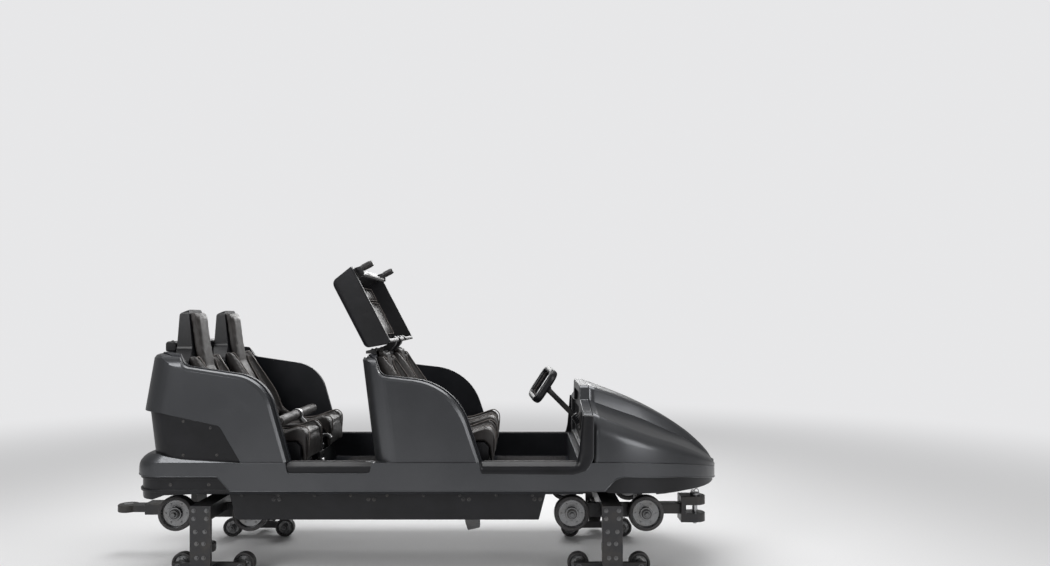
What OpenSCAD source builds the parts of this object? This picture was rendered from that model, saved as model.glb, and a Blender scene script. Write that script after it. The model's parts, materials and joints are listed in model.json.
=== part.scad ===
// Two-row roller coaster car: an open moulded body on two bogies that grip a pair of tubular rails.
// +X points to the nose, +Y to the car's left and +Z up. Z is 0 under the lowest wheels.

/* [Track] */
// Distance between the two rails, centre to centre
gauge = 880; // [840:5:920]
// Radius of a rail tube
rail_r = 70; // [60:1:76]
// Radius of a road wheel, which runs on top of the rail
road_r = 115; // [100:1:120]
// Width of a road wheel
road_w = 80; // [60:2:90]
// Radius of an upstop wheel, which runs under the rail
upstop_r = 70; // [60:1:75]
// Width of an upstop wheel
upstop_w = 60; // [44:2:70]
// Radius of a guide wheel, which runs on the rail's outer side
guide_r = 60; // [50:1:64]
// Height of a guide wheel
guide_w = 60; // [44:2:66]

/* [Bogies] */
// Place of the front bogie's kingpin
bogie_front_x = 1320; // [1290:5:1340]
// Place of the rear bogie's kingpin
bogie_rear_x = -1260; // [-1290:5:-1240]
// Half of the distance between a bogie's road axles
road_half_base = 242; // [225:1:250]
// Half of the distance between a bogie's upstop axles
upstop_half_base = 200; // [180:1:215]
// Radius of the road axles
road_axle_r = 20; // [15:1:24]
// Radius of the upstop and guide axles
small_axle_r = 14; // [10:1:18]
// Radius of the kingpin
kingpin_r = 40; // [30:1:46]
// Thickness of the outboard plates
plate_t = 25; // [16:1:30]

/* [Body] */
// Half of the body's width at the ledge
half_w = 700; // [680:5:730]
// Tail of the lower body
tail_x = -1700; // [-1730:5:-1690]
// Place where the nose starts to narrow
nose_start_x = 1300; // [1260:5:1340]
// Tip of the nose
nose_tip_x = 2110; // [2080:5:2150]
// Height of the grey skirt, from its lower edge to the ledge
skirt_h = 177; // [160:1:200]
// Wall of the lower body, outside the tub
skirt_wall = 50; // [40:1:60]
// Wall of the tub and of its liners
tub_wall = 30; // [20:1:34]
// Thickness of the floor
floor_t = 20; // [12:1:26]
// Radius of the body's corners at the tail, seen from above
tail_corner_r = 200; // [180:5:230]
// Inset of the cowls from the ledge below them
cowl_inset = 12; // [6:1:16]

/* [Seats] */
// Place of the rear row's hip point
rear_hip_x = -1060; // [-1070:5:-1055]
// Distance between the two rows
row_pitch = 1210; // [1200:5:1225]
// Distance of a seat's middle from the car's middle
seat_y = 310; // [305:1:316]
// Width of a seat
seat_w = 450; // [420:5:460]
// Width of a headrest
headrest_w = 210; // [180:5:230]

/* [Restraints] */
// Lean of the raised hood from upright
hood_lean = 27.4; // [25:0.2:29]
// Length of the hood from hinge to grips
hood_len = 551; // [520:1:570]
// Depth of the hood
hood_depth = 170; // [150:1:180]
// Half of the hood's width
hood_half_w = 520; // [480:5:540]
// Wall of the hood
hood_wall = 25; // [18:1:28]
// Radius of the lap bar's padded roll
roll_r = 35; // [28:1:38]
// Length of the lap bar from end to end
roll_len = 850; // [780:5:880]

/* [Hidden] */
grey = "#54575c";
black = "#17181a";
dark = "#26272b";
leather = "#3a3230";
steel = "#8f9297";
tread = "#2b2a2c";

$fn = 48;
eps = 1;
run_gap = 0.05;   // radial clearance of a shaft in its bore
end_gap = 0.5;    // axial clearance of a wheel on its axle
seat_gap = 0.3;   // gap between pieces that touch without sharing a face

// Heights of the running gear, from the floor up
upstop_z = upstop_r;
rail_z = 2 * upstop_r + rail_r;
road_z = rail_z + rail_r + road_r;
guide_y = gauge / 2 + rail_r + guide_r;
beam_h = 65;
bolster_top_z = road_z + 95;
frame_z = bolster_top_z + 5;
floor_z = frame_z + beam_h;
skirt_z = floor_z + 30;
ledge_z = skirt_z + skirt_h;

tub_half = half_w - skirt_wall;          // outer face of the tub
tub_inner = tub_half - tub_wall;
cowl_half = half_w - cowl_inset;
front_hip_x = rear_hip_x + row_pitch;
dash_x = front_hip_x + 990;              // rear face of the dash
seam_x = dash_x + 60;                    // front face of the dash, where the nose starts
tub_back_x = tail_x + 135;
tub_corner_r = tail_corner_r - 50;

// Plain functions for outlines. A corner is [a, b, fillet radius].
function unit(v) = v / norm(v);
function flat(p) = [p[0], p[1]];
function corner_arc(before, at, after, r, steps) =
    r <= 0 ? [at] :
    let (u = unit(before - at), v = unit(after - at), half = acos(u * v) / 2,
         centre = at + unit(u + v) * (r / sin(half)),
         first = at + u * (r / tan(half)) - centre,
         last = at + v * (r / tan(half)) - centre,
         start = atan2(first[1], first[0]),
         sweep = ((atan2(last[1], last[0]) - start + 540) % 360) - 180)
    [for (i = [0:steps]) centre + r * [cos(start + sweep * i / steps), sin(start + sweep * i / steps)]];
function rounded(corners, steps = 6) =
    let (n = len(corners))
    [for (i = [0:n - 1])
        each corner_arc(flat(corners[(i + n - 1) % n]), flat(corners[i]), flat(corners[(i + 1) % n]),
                        corners[i][2], steps)];

// An outline in X and Z, drawn out across the car from y0 to y1
module across(outline, y0, y1) {
    translate([0, y1, 0]) rotate([90, 0, 0]) linear_extrude(y1 - y0) polygon(outline);
}

// An outline in Y and Z, drawn out along the car from x0 to x1
module along(outline, x0, x1) {
    translate([x0, 0, 0]) rotate([90, 0, 90]) linear_extrude(x1 - x0) polygon(outline);
}

module both_sides() {
    children();
    mirror([0, 1, 0]) children();
}

// A round bar from one point to another
module bar(from, to, r) {
    d = to - from;
    translate(from) rotate([0, acos(d[2] / norm(d)), atan2(d[1], d[0])]) cylinder(r = r, h = norm(d));
}

// A round bar across the car, through a point
module cross_bar(at, r, y0, y1) {
    translate([at[0], y0, at[1]]) rotate([-90, 0, 0]) cylinder(r = r, h = y1 - y0);
}

// Plan of the body. The nose narrows as a superellipse.
nose_power = 1.8;
function nose_half(x) = x <= nose_start_x ? half_w :
    half_w * pow(max(0, 1 - pow((x - nose_start_x) / (nose_tip_x - nose_start_x), nose_power)), 1 / nose_power);
nose_steps = 14;
function body_side(inset) = [for (i = [0:nose_steps - 1])
    let (x = nose_start_x + (nose_tip_x - nose_start_x) * sin(90 * i / nose_steps))
    [x - inset * sin(90 * i / nose_steps), nose_half(x) - inset * cos(90 * i / nose_steps)]];
function body_plan(inset) =
    let (side = body_side(inset), back = tail_x + inset, w = half_w - inset, r = tail_corner_r - inset, last = nose_steps - 1)
    concat(
        corner_arc([back, 0], [back, w], [0, w], r, 8),
        side,
        [[nose_tip_x - inset, 0]],
        [for (i = [0:last]) [side[last - i][0], -side[last - i][1]]],
        corner_arc([0, -w], [back, -w], [back, 0], r, 8));

// Sections of the nose. Heights are above the ledge's level.
// x, ledge height, shoulder height, crease half-width, crease height, top half-width, top height
nose_sections = [
    [seam_x, 0, 300, 330, 355, 292, 449],
    [1375, 0, 226, 300, 289, 262, 385],
    [1560, -12, 152, 262, 222, 226, 311],
    [1740, -31, 90, 215, 139, 180, 220],
    [1880, -55, 29, 170, 72, 138, 130],
    [1990, -83, -31, 125, -5, 98, 36],
    [2060, -109, -76, 80, -60, 60, -39],
    [2096, -123, -112, 34, -104, 24, -92]];
function nose_w(s) = nose_half(s[0]) - cowl_inset;
function nose_shoulder_y(s) = max(s[3] + 4, nose_w(s) - 75 * nose_half(s[0]) / half_w);
function nose_half_ring(s) = [
    [nose_w(s), s[1]],
    [nose_w(s) - 3, s[1] + 0.45 * (s[2] - s[1])],
    [nose_w(s) - 12, s[1] + 0.78 * (s[2] - s[1])],
    [(nose_w(s) + 2 * nose_shoulder_y(s)) / 3 + 8, s[2] - 0.06 * (s[2] - s[1])],
    [nose_shoulder_y(s) - 4, s[2] + 2],
    [s[3], s[4]]];
function spine_half_ring(s) = [[s[3], s[4]], [s[5] + 8, s[6] - 16], [s[5] - 14, s[6]]];
function mirrored_ring(half) =
    let (n = len(half)) concat(half, [for (i = [0:n - 1]) [-half[n - 1 - i][0], half[n - 1 - i][1]]]);

// A solid through rings of equal length. Each runs counterclockwise, seen from the side of the last ring.
module ring_solid(rings) {
    n = len(rings[0]);
    m = len(rings);
    sides = [for (i = [0:m - 2]) for (j = [0:n - 1]) each
        [[i * n + j, (i + 1) * n + j, i * n + (j + 1) % n],
         [i * n + (j + 1) % n, (i + 1) * n + j, (i + 1) * n + (j + 1) % n]]];
    back = [for (j = [1:n - 2]) [0, j, j + 1]];
    front = [for (j = [1:n - 2]) [(m - 1) * n, (m - 1) * n + j + 1, (m - 1) * n + j]];
    polyhedron([for (ring = rings) each ring], concat(sides, back, front), convexity = 4);
}

// Rings given as outlines in Y and Z, each at its own X
module loft(xs, rings)
    ring_solid([for (i = [0:len(xs) - 1]) [for (p = rings[i]) [xs[i], p[0], p[1]]]]);

nose_xs = [for (s = nose_sections) s[0]];

// The lower edge of the grey skirt and the ledge, in X and height above the ledge's level
skirt_end_h = -87;
skirt_lower = [[-1141, skirt_end_h], [-1060, -skirt_h], [1269, -skirt_h], [1338, -100], [1400, skirt_end_h],
               [1775, -117], [1950, -152], [nose_tip_x + 10, -208]];
function ledge_line() = [for (i = [len(nose_sections) - 1:-1:0]) [nose_sections[i][0], nose_sections[i][1]]];

// Openings for the riders' legs: rear end, front end, inset of the lower front corner and its radius,
// inset of the upper front corner
rear_foot_x = rear_hip_x + 337;
cowl_back_foot = -340;
openings = [
    [rear_foot_x, front_hip_x + cowl_back_foot + 12, 14, 26, 0],
    [front_hip_x + 336, seam_x, 100, 60, 30]];
sill_drop = 67;
function sill_outline(o) = rounded([
    [o[0] + 4, eps, 0], [o[0] + 14, -sill_drop, 26],
    [o[1] - o[2], -sill_drop, o[3]], [o[1] - o[4], eps, 0]]);

// Round shoulder of the tail, which rises to the foot of the black panel and fades out along the sides.
// Each row is a height above the ledge, the inset of the back and the inset of the sides.
tail_shoulder = [[-240, -1, -1], [-62, -1, -1], [-25, 4, -1], [-1, 15, -1], [21, 35, 9], [38, 60, 16], [54, 94, 21.7]];
// Its crest along the sides: distance ahead of the black panel's back, and height
tail_crest = [[79, 50], [138, 35], [238, 20], [437, 8], [582, 0]];
module tail_envelope()
    ring_solid([for (t = tail_shoulder)
        let (back = tail_x + t[1], half = half_w - t[2], r = tail_corner_r - (t[1] + t[2]) / 2)
        [for (p = rounded([[back, -half, r], [nose_tip_x + 20, -half, 0], [nose_tip_x + 20, half, 0], [back, half, r]], 8))
            [p[0], p[1], t[0]]]]);

module lower_body() color(grey) translate([0, 0, ledge_z]) difference() {
    top = tail_crest[0][1];
    intersection() {
        translate([0, 0, -skirt_h - 50]) linear_extrude(skirt_h + 50 + top + 5) polygon(body_plan(0));
        across(concat([[tail_x - 5, top], [tail_x - 5, skirt_end_h]], skirt_lower,
                      [[nose_tip_x + 10, -128]], ledge_line(),
                      [for (i = [len(tail_crest) - 1:-1:0])
                          tail_crest[i] + [rear_hip_x + base_foot_x, 0]]), -half_w - eps, half_w + eps);
        tail_envelope();
    }
    tub_space();
    for (o = openings)
        both_sides() across(sill_outline(o), tub_half, half_w + eps);
    // seat of the black panel
    intersection() {
        translate([rear_hip_x, 0, 0]) upright(base_foot_x - seat_gap, base_lean)
            u_plan(0, base_half + seat_gap, base_corner_r, u_reach);
        translate([tail_x, -half_w, 0]) cube([u_reach, 2 * half_w, top + 10]);
    }
}

// Room for the tub inside the lower body
module tub_space() {
    translate([0, 0, -skirt_h - 60]) linear_extrude(skirt_h + 70)
        polygon(rounded([[tub_back_x, -tub_half, tub_corner_r], [dash_x, -tub_half, 0],
                         [dash_x, tub_half, 0], [tub_back_x, tub_half, tub_corner_r]], 8));
}

module tub() color(dark) translate([0, 0, ledge_z]) {
    floor_low = floor_z - ledge_z;
    plan = rounded([[tub_back_x, -tub_half, tub_corner_r], [dash_x, -tub_half, 0],
                    [dash_x, tub_half, 0], [tub_back_x, tub_half, tub_corner_r]], 8);
    inner = rounded([[tub_back_x + tub_wall, -tub_inner, tub_corner_r - tub_wall], [dash_x - tub_wall, -tub_inner, 0],
                     [dash_x - tub_wall, tub_inner, 0],
                     [tub_back_x + tub_wall, tub_inner, tub_corner_r - tub_wall]], 8);
    difference() {
        translate([0, 0, floor_low]) linear_extrude(-floor_low) polygon(plan);
        translate([0, 0, floor_low + floor_t]) linear_extrude(-floor_low) polygon(inner);
    }
    plinth = [[-190, floor_low + floor_t], [-190, seat_foot_h], [348, seat_foot_h], [372, floor_low + floor_t]];
    for (hip = [rear_hip_x, front_hip_x])
        both_sides() translate([hip, 0, 0]) across(plinth, seat_y - seat_w / 2, seat_y + seat_w / 2);
}

// Cowls and liners are upright walls around a row, seen from above as a U with two round corners.
// Places are from the row's hip point and heights from the ledge.
u_reach = row_pitch + 200;
liner_half = tub_half - seat_gap;
module u_plan(back, half, corner_r, front)
    polygon(rounded([[back, -half, corner_r], [front, -half, 0], [front, half, 0], [back, half, corner_r]], 8));

foot_depth = 220;   // how far a leaning wall's outline starts below the ledge, before it is trimmed
module upright(foot_x, lean)
    translate([foot_x, 0, 0]) rotate([0, lean, 0]) translate([0, 0, -foot_depth])
        linear_extrude(840 + foot_depth) children();

module wall_u(foot_x, lean, half, wall, corner_r)
    upright(foot_x, lean) difference() {
        u_plan(0, half, corner_r, u_reach);
        u_plan(wall, half - wall, corner_r - wall, u_reach + eps);
    }

// The upper outline of a cowl, seen from the side: deck height, deck end, crest start,
// knee [x, height, radius] and toe
function crest(c, raise = 0) =
    let (deck_h = c[0], start = c[2], knee = c[3])
    rounded([[-900, 0, 0], [-900, deck_h + raise, 0], [c[1], deck_h + raise, 40],
             [start[0], start[1] + raise, 60], [knee[0] + raise, knee[1] + raise, knee[2]],
             [c[4] + 1.2 * raise, 0, 0]], 10);
// The same seen from behind, with the deck's shoulders rounded
function shoulders(half, deck_h, r) = rounded([
    [-half, -20, 0], [-half, deck_h, r], [half, deck_h, r], [half, -20, 0]], 8);

// Rolled rim of a cowl: inset from the outer face and rise above the crease
rim_rise = 20;
rim = [[-2, -4], [11, rim_rise - 7], [28, rim_rise]];

// Room inside the rolled rim along the sides
module rim_sides(c)
    ring_solid([for (side = [-1, 1]) for (i = [0:len(rim) - 1])
        let (r = side < 0 ? rim[i] : rim[len(rim) - 1 - i])
        [for (p = crest(c, r[1])) [p[0], side * (cowl_half - r[0]), p[1]]]]);

// The same along the deck's back edge. The rings follow the wall's lean.
module rim_deck(foot_x, lean, corner_r, deck_h)
    ring_solid([for (r = concat([[-4, -60 - deck_h], [-4, -rim_rise - 12]],
                                [for (i = [1:2]) [rim[i][0], rim[i][1] - rim_rise]]))
        let (z = deck_h + r[1], back = foot_x + z * tan(lean) + r[0], half = cowl_half - r[0],
             corner = corner_r - r[0])
        [for (p = rounded([[back, -half, corner], [u_reach, -half, 0], [u_reach, half, 0], [back, half, corner]], 8))
            [p[0], p[1], z]]]);

module cowl(foot_x, lean, corner_r, c, shoulder_r) {
    intersection() {
        wall_u(foot_x, lean, cowl_half, cowl_half - tub_half, corner_r);
        rim_sides(c);
        rim_deck(foot_x, lean, corner_r, c[0]);
        along(shoulders(cowl_half, c[0], shoulder_r), -900, 900);
    }
}

rear_deck_h = 673;
rear_crest = [rear_deck_h, -352, [-298, 576], [185, 500, 265], 327];
front_deck_h = 658;
front_crest = [front_deck_h, -336, [-284, 518], [162, 463, 400], 320];
liner_lip = 9;
crest_lip = rim_rise + 7;      // height of a liner above a cowl's crease

// The black panel behind and below the rear cowl
base_foot_x = -534;
base_lean = -7;
base_half = cowl_half - 10;
base_corner_r = 190;
function base_side(low) = rounded([[-900, low, 0], [-900, 330, 0], [-450, 310, 0], [-72, 228, 40],
                                   [60 - low * 132 / 228, low, 0]]);

module rear_cowl() color(grey) translate([rear_hip_x, 0, ledge_z]) difference() {
    cowl(-668, 10.1, 215, rear_crest, 90);
    across(base_side(-eps), -half_w, half_w);
}

module rear_cowl_base() color(black) translate([rear_hip_x, 0, ledge_z]) intersection() {
    wall_u(base_foot_x, base_lean, base_half, base_half - tub_half, base_corner_r);
    across(base_side(0), -half_w, half_w);
}

module front_cowl() color(grey) translate([front_hip_x, 0, ledge_z])
    cowl(cowl_back_foot, -7.1, 170, front_crest, 123);

// A liner's shelf closes the gap between the deck and the backs of the seats, down to shelf_t
shelf_t = 32;
module liner(foot_x, lean, corner_r, c, shoulder_r, shelf_x) {
    top = c[0] + liner_lip;
    shelf_half = liner_half - tub_wall + 5;
    intersection() {
        union() {
            intersection() {
                wall_u(foot_x, lean, liner_half, tub_wall, corner_r);
                across(crest(c, crest_lip), -half_w, half_w);
            }
            intersection() {
                upright(foot_x, lean) u_plan(0, liner_half, corner_r, u_reach);
                translate([-900, -shelf_half, top - shelf_t]) cube([900 + shelf_x, 2 * shelf_half, shelf_t + eps]);
            }
        }
        along(shoulders(liner_half, top, shoulder_r), -900, 900);
    }
}

module rear_liner() color(dark) translate([rear_hip_x, 0, ledge_z])
    liner(-505, 0, 192, rear_crest, 60, -456);

module front_liner() color(dark) translate([front_hip_x, 0, ledge_z]) difference() {
    liner(-300, -7.1, 134, front_crest, 80, -325);
    // notches for the seat backs
    for (y = [-seat_y, seat_y])
        translate([-351, y - seat_w / 2 - 6, front_deck_h - 60]) cube([60, seat_w + 12, 100]);
}

module nose_shell() color(grey) translate([0, 0, ledge_z])
    loft(nose_xs, [for (s = nose_sections) mirrored_ring(nose_half_ring(s))]);

module nose_spine() color(grey) translate([0, 0, ledge_z])
    loft(nose_xs, [for (s = nose_sections) mirrored_ring(spine_half_ring(s))]);

// The section of nose and spine together at the seam, as one outline
seam_section = nose_sections[0];
seam_ring = mirrored_ring(concat(nose_half_ring(seam_section), [for (i = [1:2]) spine_half_ring(seam_section)[i]]));
surround_h = 290;       // lower edge of the grey surround
surround_wall = 55;
dash_face_x = dash_x + 24;
dash_sink_half = half_w - 180;

function shrink_ring(ring, t) = [for (p = ring) [p[0] - sign(p[0]) * t, p[1] - t]];

module nose_surround() color(grey) translate([0, 0, ledge_z]) difference() {
    along(seam_ring, dash_x, seam_x);
    along(shrink_ring(seam_ring, surround_wall), dash_x - eps, seam_x + eps);
    translate([dash_x - eps, -half_w, -eps]) cube([seam_x - dash_x + 2 * eps, 2 * half_w, surround_h + eps]);
}

module dash() color(black) translate([0, 0, ledge_z]) difference() {
    union() {
        intersection() {
            along(shrink_ring(seam_ring, surround_wall), dash_face_x, seam_x);
            translate([0, -half_w, 0]) cube([nose_tip_x, 2 * half_w, half_w]);
        }
        intersection() {
            along(shrink_ring(seam_ring, 8), dash_x, seam_x);
            translate([0, -half_w, 0]) cube([nose_tip_x, 2 * half_w, surround_h]);
        }
    }
    // the face toward the riders is sunk between the side pillars
    translate([dash_x - eps, -dash_sink_half, 40]) cube([dash_face_x - dash_x + eps, 2 * dash_sink_half, surround_h]);
}

sill_slope = 25;        // fall of a sill's top toward the outside
module sill_trims() color(black) translate([0, 0, ledge_z])
    for (o = openings)
        both_sides() intersection() {
            across(sill_outline(o), tub_half, half_w - 6);
            along([[tub_half - eps, -200], [tub_half - eps, 0], [tub_half + 10, 0], [half_w - 6, -sill_slope],
                   [half_w, -sill_slope - 20], [half_w, -200]], tail_x, nose_tip_x);
        }

// Bumpers: a plate under the grey skirt, with lips at the tail and a step at the nose
bumper_inset = 10;
bumper_low = -236;      // lower edge of both bumpers
lip_reach = 12;
lip_h = 14;
lips = [-108, -187];    // lower edges of the lips
step_inset = 95;

module front_bumper() color(black) translate([0, 0, ledge_z]) {
    intersection() {
        translate([0, 0, -250]) linear_extrude(250) polygon(body_plan(14));
        across(concat([for (i = [2:len(skirt_lower) - 1]) skirt_lower[i]],
                      [[nose_tip_x + 10, -218], [2030, -220], [1900, -218], [1597, -206], [1290, -190]]),
               -half_w, half_w);
    }
    intersection() {
        translate([0, 0, -250]) linear_extrude(150) polygon(body_plan(step_inset));
        across([[1606, -200], [1620, bumper_low], [1950, bumper_low - 10], [2004, -210], [1900, -200]], -half_w, half_w);
    }
}

module rear_bumper() color(black) translate([0, 0, ledge_z]) difference() {
    intersection() {
        union() {
            translate([0, 0, -250]) linear_extrude(250) polygon(body_plan(bumper_inset + lip_reach));
            for (z = lips)
                translate([0, 0, z]) linear_extrude(lip_h) polygon(body_plan(bumper_inset));
        }
        across([[tail_x, skirt_end_h], skirt_lower[0], skirt_lower[1], [-1078, -skirt_h - 14],
                [-1480, -skirt_h - 30], [-1560, bumper_low], [tail_x + 60, bumper_low], [tail_x + 12, -200]],
               -half_w, half_w);
    }
    tub_space();
}

// Underframe
beam_y = 220;
beam_w = 80;
frame_back_x = -1560;
frame_front_x = 1595;
cross_w = 60;          // width of the underframe's end members
bolster_w = 180;       // width of the members over the kingpins
outrigger_xs = [-800, -200, 400, 850];
outrigger_w = 60;
valance_y = 600;
valance_t = 16;
valance_h = 170;
valance_back_x = -1100;
valance_front_x = 905;
socket_r = 78;

// Couplers: a clevis at the front and a tongue at the rear, each on a hanger at the end of the underframe
coupler_z = road_z - 70;
coupler_front_x = 1980;     // pin of the front coupler
coupler_rear_x = -2040;     // pin of the rear coupler
coupler_pin_r = 20;
coupler_end_r = 70;         // round end of both couplers
clevis_h = 180;
clevis_gap = 60;
tongue_t = 50;
coupler_arm_w = 90;
hanger_t = 40;
hanger_w = 180;

module underframe() color(black) translate([0, 0, frame_z]) difference() {
    union() {
        both_sides() translate([frame_back_x, beam_y - beam_w / 2, 0])
            cube([frame_front_x - frame_back_x, beam_w, beam_h]);
        for (x = [frame_back_x, frame_front_x - cross_w])
            translate([x, -beam_y, 0]) cube([cross_w, 2 * beam_y, beam_h]);
        for (x = outrigger_xs)
            translate([x - outrigger_w / 2, -valance_y + valance_t / 2, 12])
                cube([outrigger_w, 2 * valance_y - valance_t, beam_h - 12]);
        for (x = [bogie_front_x, bogie_rear_x])
            translate([x - bolster_w / 2, -beam_y, 0]) cube([bolster_w, 2 * beam_y, beam_h]);
        for (x = [frame_back_x, frame_front_x - hanger_t])
            translate([x, -hanger_w / 2, coupler_z - 35 - frame_z])
                cube([hanger_t, hanger_w, beam_h + 35 + frame_z - coupler_z]);
    }
    for (x = [bogie_front_x, bogie_rear_x])
        translate([x, 0, -eps]) cylinder(r = kingpin_r + run_gap, h = beam_h - 9);
}

module valances() color(black) translate([0, 0, floor_z])
    both_sides() across([[valance_back_x, 0], [valance_back_x + 40, -valance_h],
                         [valance_front_x - 45, -valance_h], [valance_front_x, 0]],
                        valance_y - valance_t / 2, valance_y + valance_t / 2);

module chain_dog() color(steel) translate([outrigger_xs[2], 0, 0]) {
    dog_z = road_z - 229;
    across([[-50, frame_z + 12], [-50, dog_z + 60], [-30, dog_z], [55, dog_z + 20], [55, dog_z + 120],
            [10, dog_z + 150], [10, frame_z + 12]], -20, 20);
}

module coupler_arm(x0, x1, h)
    translate([x0, -coupler_arm_w / 2, coupler_z - h / 2]) cube([x1 - x0, coupler_arm_w, h]);

module coupler_front() color(black) difference() {
    head_x = coupler_front_x - 110;
    union() {
        coupler_arm(frame_front_x, head_x + 20, 70);
        translate([head_x, -coupler_end_r, coupler_z - clevis_h / 2]) cube([110, 2 * coupler_end_r, clevis_h]);
        translate([coupler_front_x, 0, coupler_z - clevis_h / 2]) cylinder(r = coupler_end_r, h = clevis_h);
    }
    translate([head_x + 35, -80, coupler_z - clevis_gap / 2]) cube([200, 160, clevis_gap]);
    translate([coupler_front_x, 0, coupler_z - clevis_h]) cylinder(r = coupler_pin_r, h = 2 * clevis_h);
}

module coupler_rear() color(black) difference() {
    union() {
        coupler_arm(coupler_rear_x, frame_back_x, tongue_t);
        translate([-1900, -60, coupler_z - 40]) cube([frame_back_x + 1900, 120, 80]);
        translate([coupler_rear_x, 0, coupler_z - tongue_t / 2]) cylinder(r = coupler_end_r, h = tongue_t);
    }
    translate([coupler_rear_x, 0, coupler_z - clevis_h]) cylinder(r = coupler_pin_r, h = 2 * clevis_h);
}

// Seats. Outlines are seen from the side, from the hip point and the ledge.
seat_foot_h = -67;
// the face where shell and pad meet, from the top down
seat_face = [[-378, 957], [-350, 700], [-324, 573], [-110, 138], [20, 75], [360, 101], [388, 73], [388, -37]];
front_seat_top = 700;

module seat_widths(low, high, hip_y, top) {
    neck_h = 668;
    along([for (p = rounded([[-low / 2, seat_foot_h - eps, 0], [-low / 2, neck_h - 60, 60], [-high / 2, neck_h + 30, 40],
                   [-high / 2 + 8, top, 30], [high / 2 - 8, top, 30], [high / 2, neck_h + 30, 40],
                   [low / 2, neck_h - 60, 60], [low / 2, seat_foot_h - eps, 0]])) [p[0] + hip_y, p[1]]], -900, 900);
}

module seat_shells(back, top) {
    for (y = [-seat_y, seat_y])
        intersection() {
            across(rounded(concat([for (p = seat_face) [p[0], p[1], 0]], back)), -half_w, half_w);
            seat_widths(seat_w, headrest_w + 20, y, top);
        }
}

module seat_shells_rear() color(black) translate([rear_hip_x, 0, ledge_z])
    seat_shells([[340, seat_foot_h, 12], [-120, seat_foot_h, 30], [-190, -7, 60], [-380, 533, 80],
                 [-452, 693, 40], [-436, 930, 24]], 957);

module seat_shells_front() color(black) translate([front_hip_x, 0, ledge_z]) intersection() {
    seat_shells([[340, seat_foot_h, 12], [-120, seat_foot_h, 30], [-180, -7, 60], [-322, 500, 60],
                 [-347, 640, 0], [-386, 957, 0]], 957);
    translate([-900, -half_w, -200]) cube([1800, 2 * half_w, 200 + 620]);
}

module seat_pads(top) {
    front = [[420, -32, 8], [427, 150, 24], [385, 180, 26], [215, 122, 120], [80, 122, 80], [-48, 166, 60],
             [-279, 573, 160], [-306, 730, 200], [-333, top, 14]];
    bolster = rounded([[-341, 656, 8], [-288, 660, 22], [-240, 576, 80], [-84, 348, 80], [-30, 215, 60],
                       [62, 140, 0], [10, 84, 0], [-108, 139, 0], [-323, 573, 0]]);
    for (y = [-seat_y, seat_y]) {
        intersection() {
            across(rounded(concat([for (p = seat_face) [p[0] + seat_gap, p[1] + seat_gap, 0]], front)),
                   -half_w, half_w);
            seat_widths(seat_w - 20, headrest_w, y, top);
        }
        for (side = [-1, 1])
            translate([0, y + side * (seat_w / 2 - 40), seat_gap]) across(bolster, -30, 30);
    }
}

module seat_pads_rear() color(leather) translate([rear_hip_x, 0, ledge_z]) seat_pads(952);

module seat_pads_front() color(leather) translate([front_hip_x, 0, ledge_z]) intersection() {
    seat_pads(952);
    translate([-900, -half_w, -200]) cube([1800, 2 * half_w, 200 + front_seat_top]);
}

// The beam behind the rear headrests lies on the shelf
beam_x = [-524, -458];
headrest_beam_h = 66;
headrest_beam_half = 430;
module headrest_beam() color(black) translate([rear_hip_x, 0, ledge_z + rear_deck_h + liner_lip])
    across(rounded([[beam_x[0], 0, 0], [beam_x[0], headrest_beam_h, 20], [beam_x[1], headrest_beam_h, 20],
                    [beam_x[1], 0, 0]]), -headrest_beam_half, headrest_beam_half);

// Restraint hood. Its own frame starts at the middle of its lower front edge and leans back with it.
hood_foot = [front_hip_x - 246, ledge_z + front_deck_h + 85];
hood_hinge = [-22, 27];       // hinge in the hood's own frame
hinge_x = hood_foot[0] + hood_hinge[0] * cos(hood_lean) - hood_hinge[1] * sin(hood_lean);
hinge_z = hood_foot[1] + hood_hinge[0] * sin(hood_lean) + hood_hinge[1] * cos(hood_lean);
hinge_pin_r = 10;
hinge_boss_r = 20;
lug_y = 120;                  // middle of each hinge lug
lug_w = 60;
pin_reach = 42;               // how far the pin goes into the boss on each side of a lug
draft = 35;

module in_hood() {
    translate([hood_foot[0], 0, hood_foot[1]]) rotate([0, -hood_lean, 0]) children();
}

module hood_block(wall, grow) {
    r = 50 - wall;
    intersection() {
        across(rounded([[grow, wall, 0], [wall - hood_depth, wall + 42, r],
                        [wall - hood_depth, hood_len - wall - 27, r], [grow, hood_len - wall, 0]]),
               -hood_half_w, hood_half_w);
        linear_extrude(hood_len)
            polygon(rounded([[grow, wall - hood_half_w, 0], [wall - hood_depth, wall + draft - hood_half_w, r],
                             [wall - hood_depth, hood_half_w - wall - draft, r], [grow, hood_half_w - wall, 0]]));
    }
}

module restraint_shell() color(black) difference() {
    union() {
        in_hood() difference() {
            hood_block(0, 0);
            hood_block(hood_wall, eps);
        }
        for (side = [-1, 1])
            cross_bar([hinge_x, hinge_z], hinge_boss_r, side * lug_y - lug_w / 2 - pin_reach - 8,
                      side * lug_y + lug_w / 2 + pin_reach + 8);
    }
    for (side = [-1, 1]) {
        // slot for the lug, then the bore
        in_hood() translate([-75, side * lug_y - lug_w / 2 - 5, -eps]) cube([90, lug_w + 10, 56]);
        cross_bar([hinge_x, hinge_z], hinge_pin_r + run_gap, side * lug_y - lug_w / 2 - pin_reach - 3,
                  side * lug_y + lug_w / 2 + pin_reach + 3);
    }
}

pad_back_x = hood_wall - hood_depth + seat_gap;
module restraint_pad() color(leather) in_hood()
    intersection() {
        across(rounded([[pad_back_x, 92, 20], [pad_back_x, 480, 20], [-92, 470, 24], [-92, 102, 24]]), -440, 440);
        along(rounded([[-440, 92, 40], [440, 92, 40], [440, 480, 40], [-440, 480, 40]]), -hood_depth, 0);
    }

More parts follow.
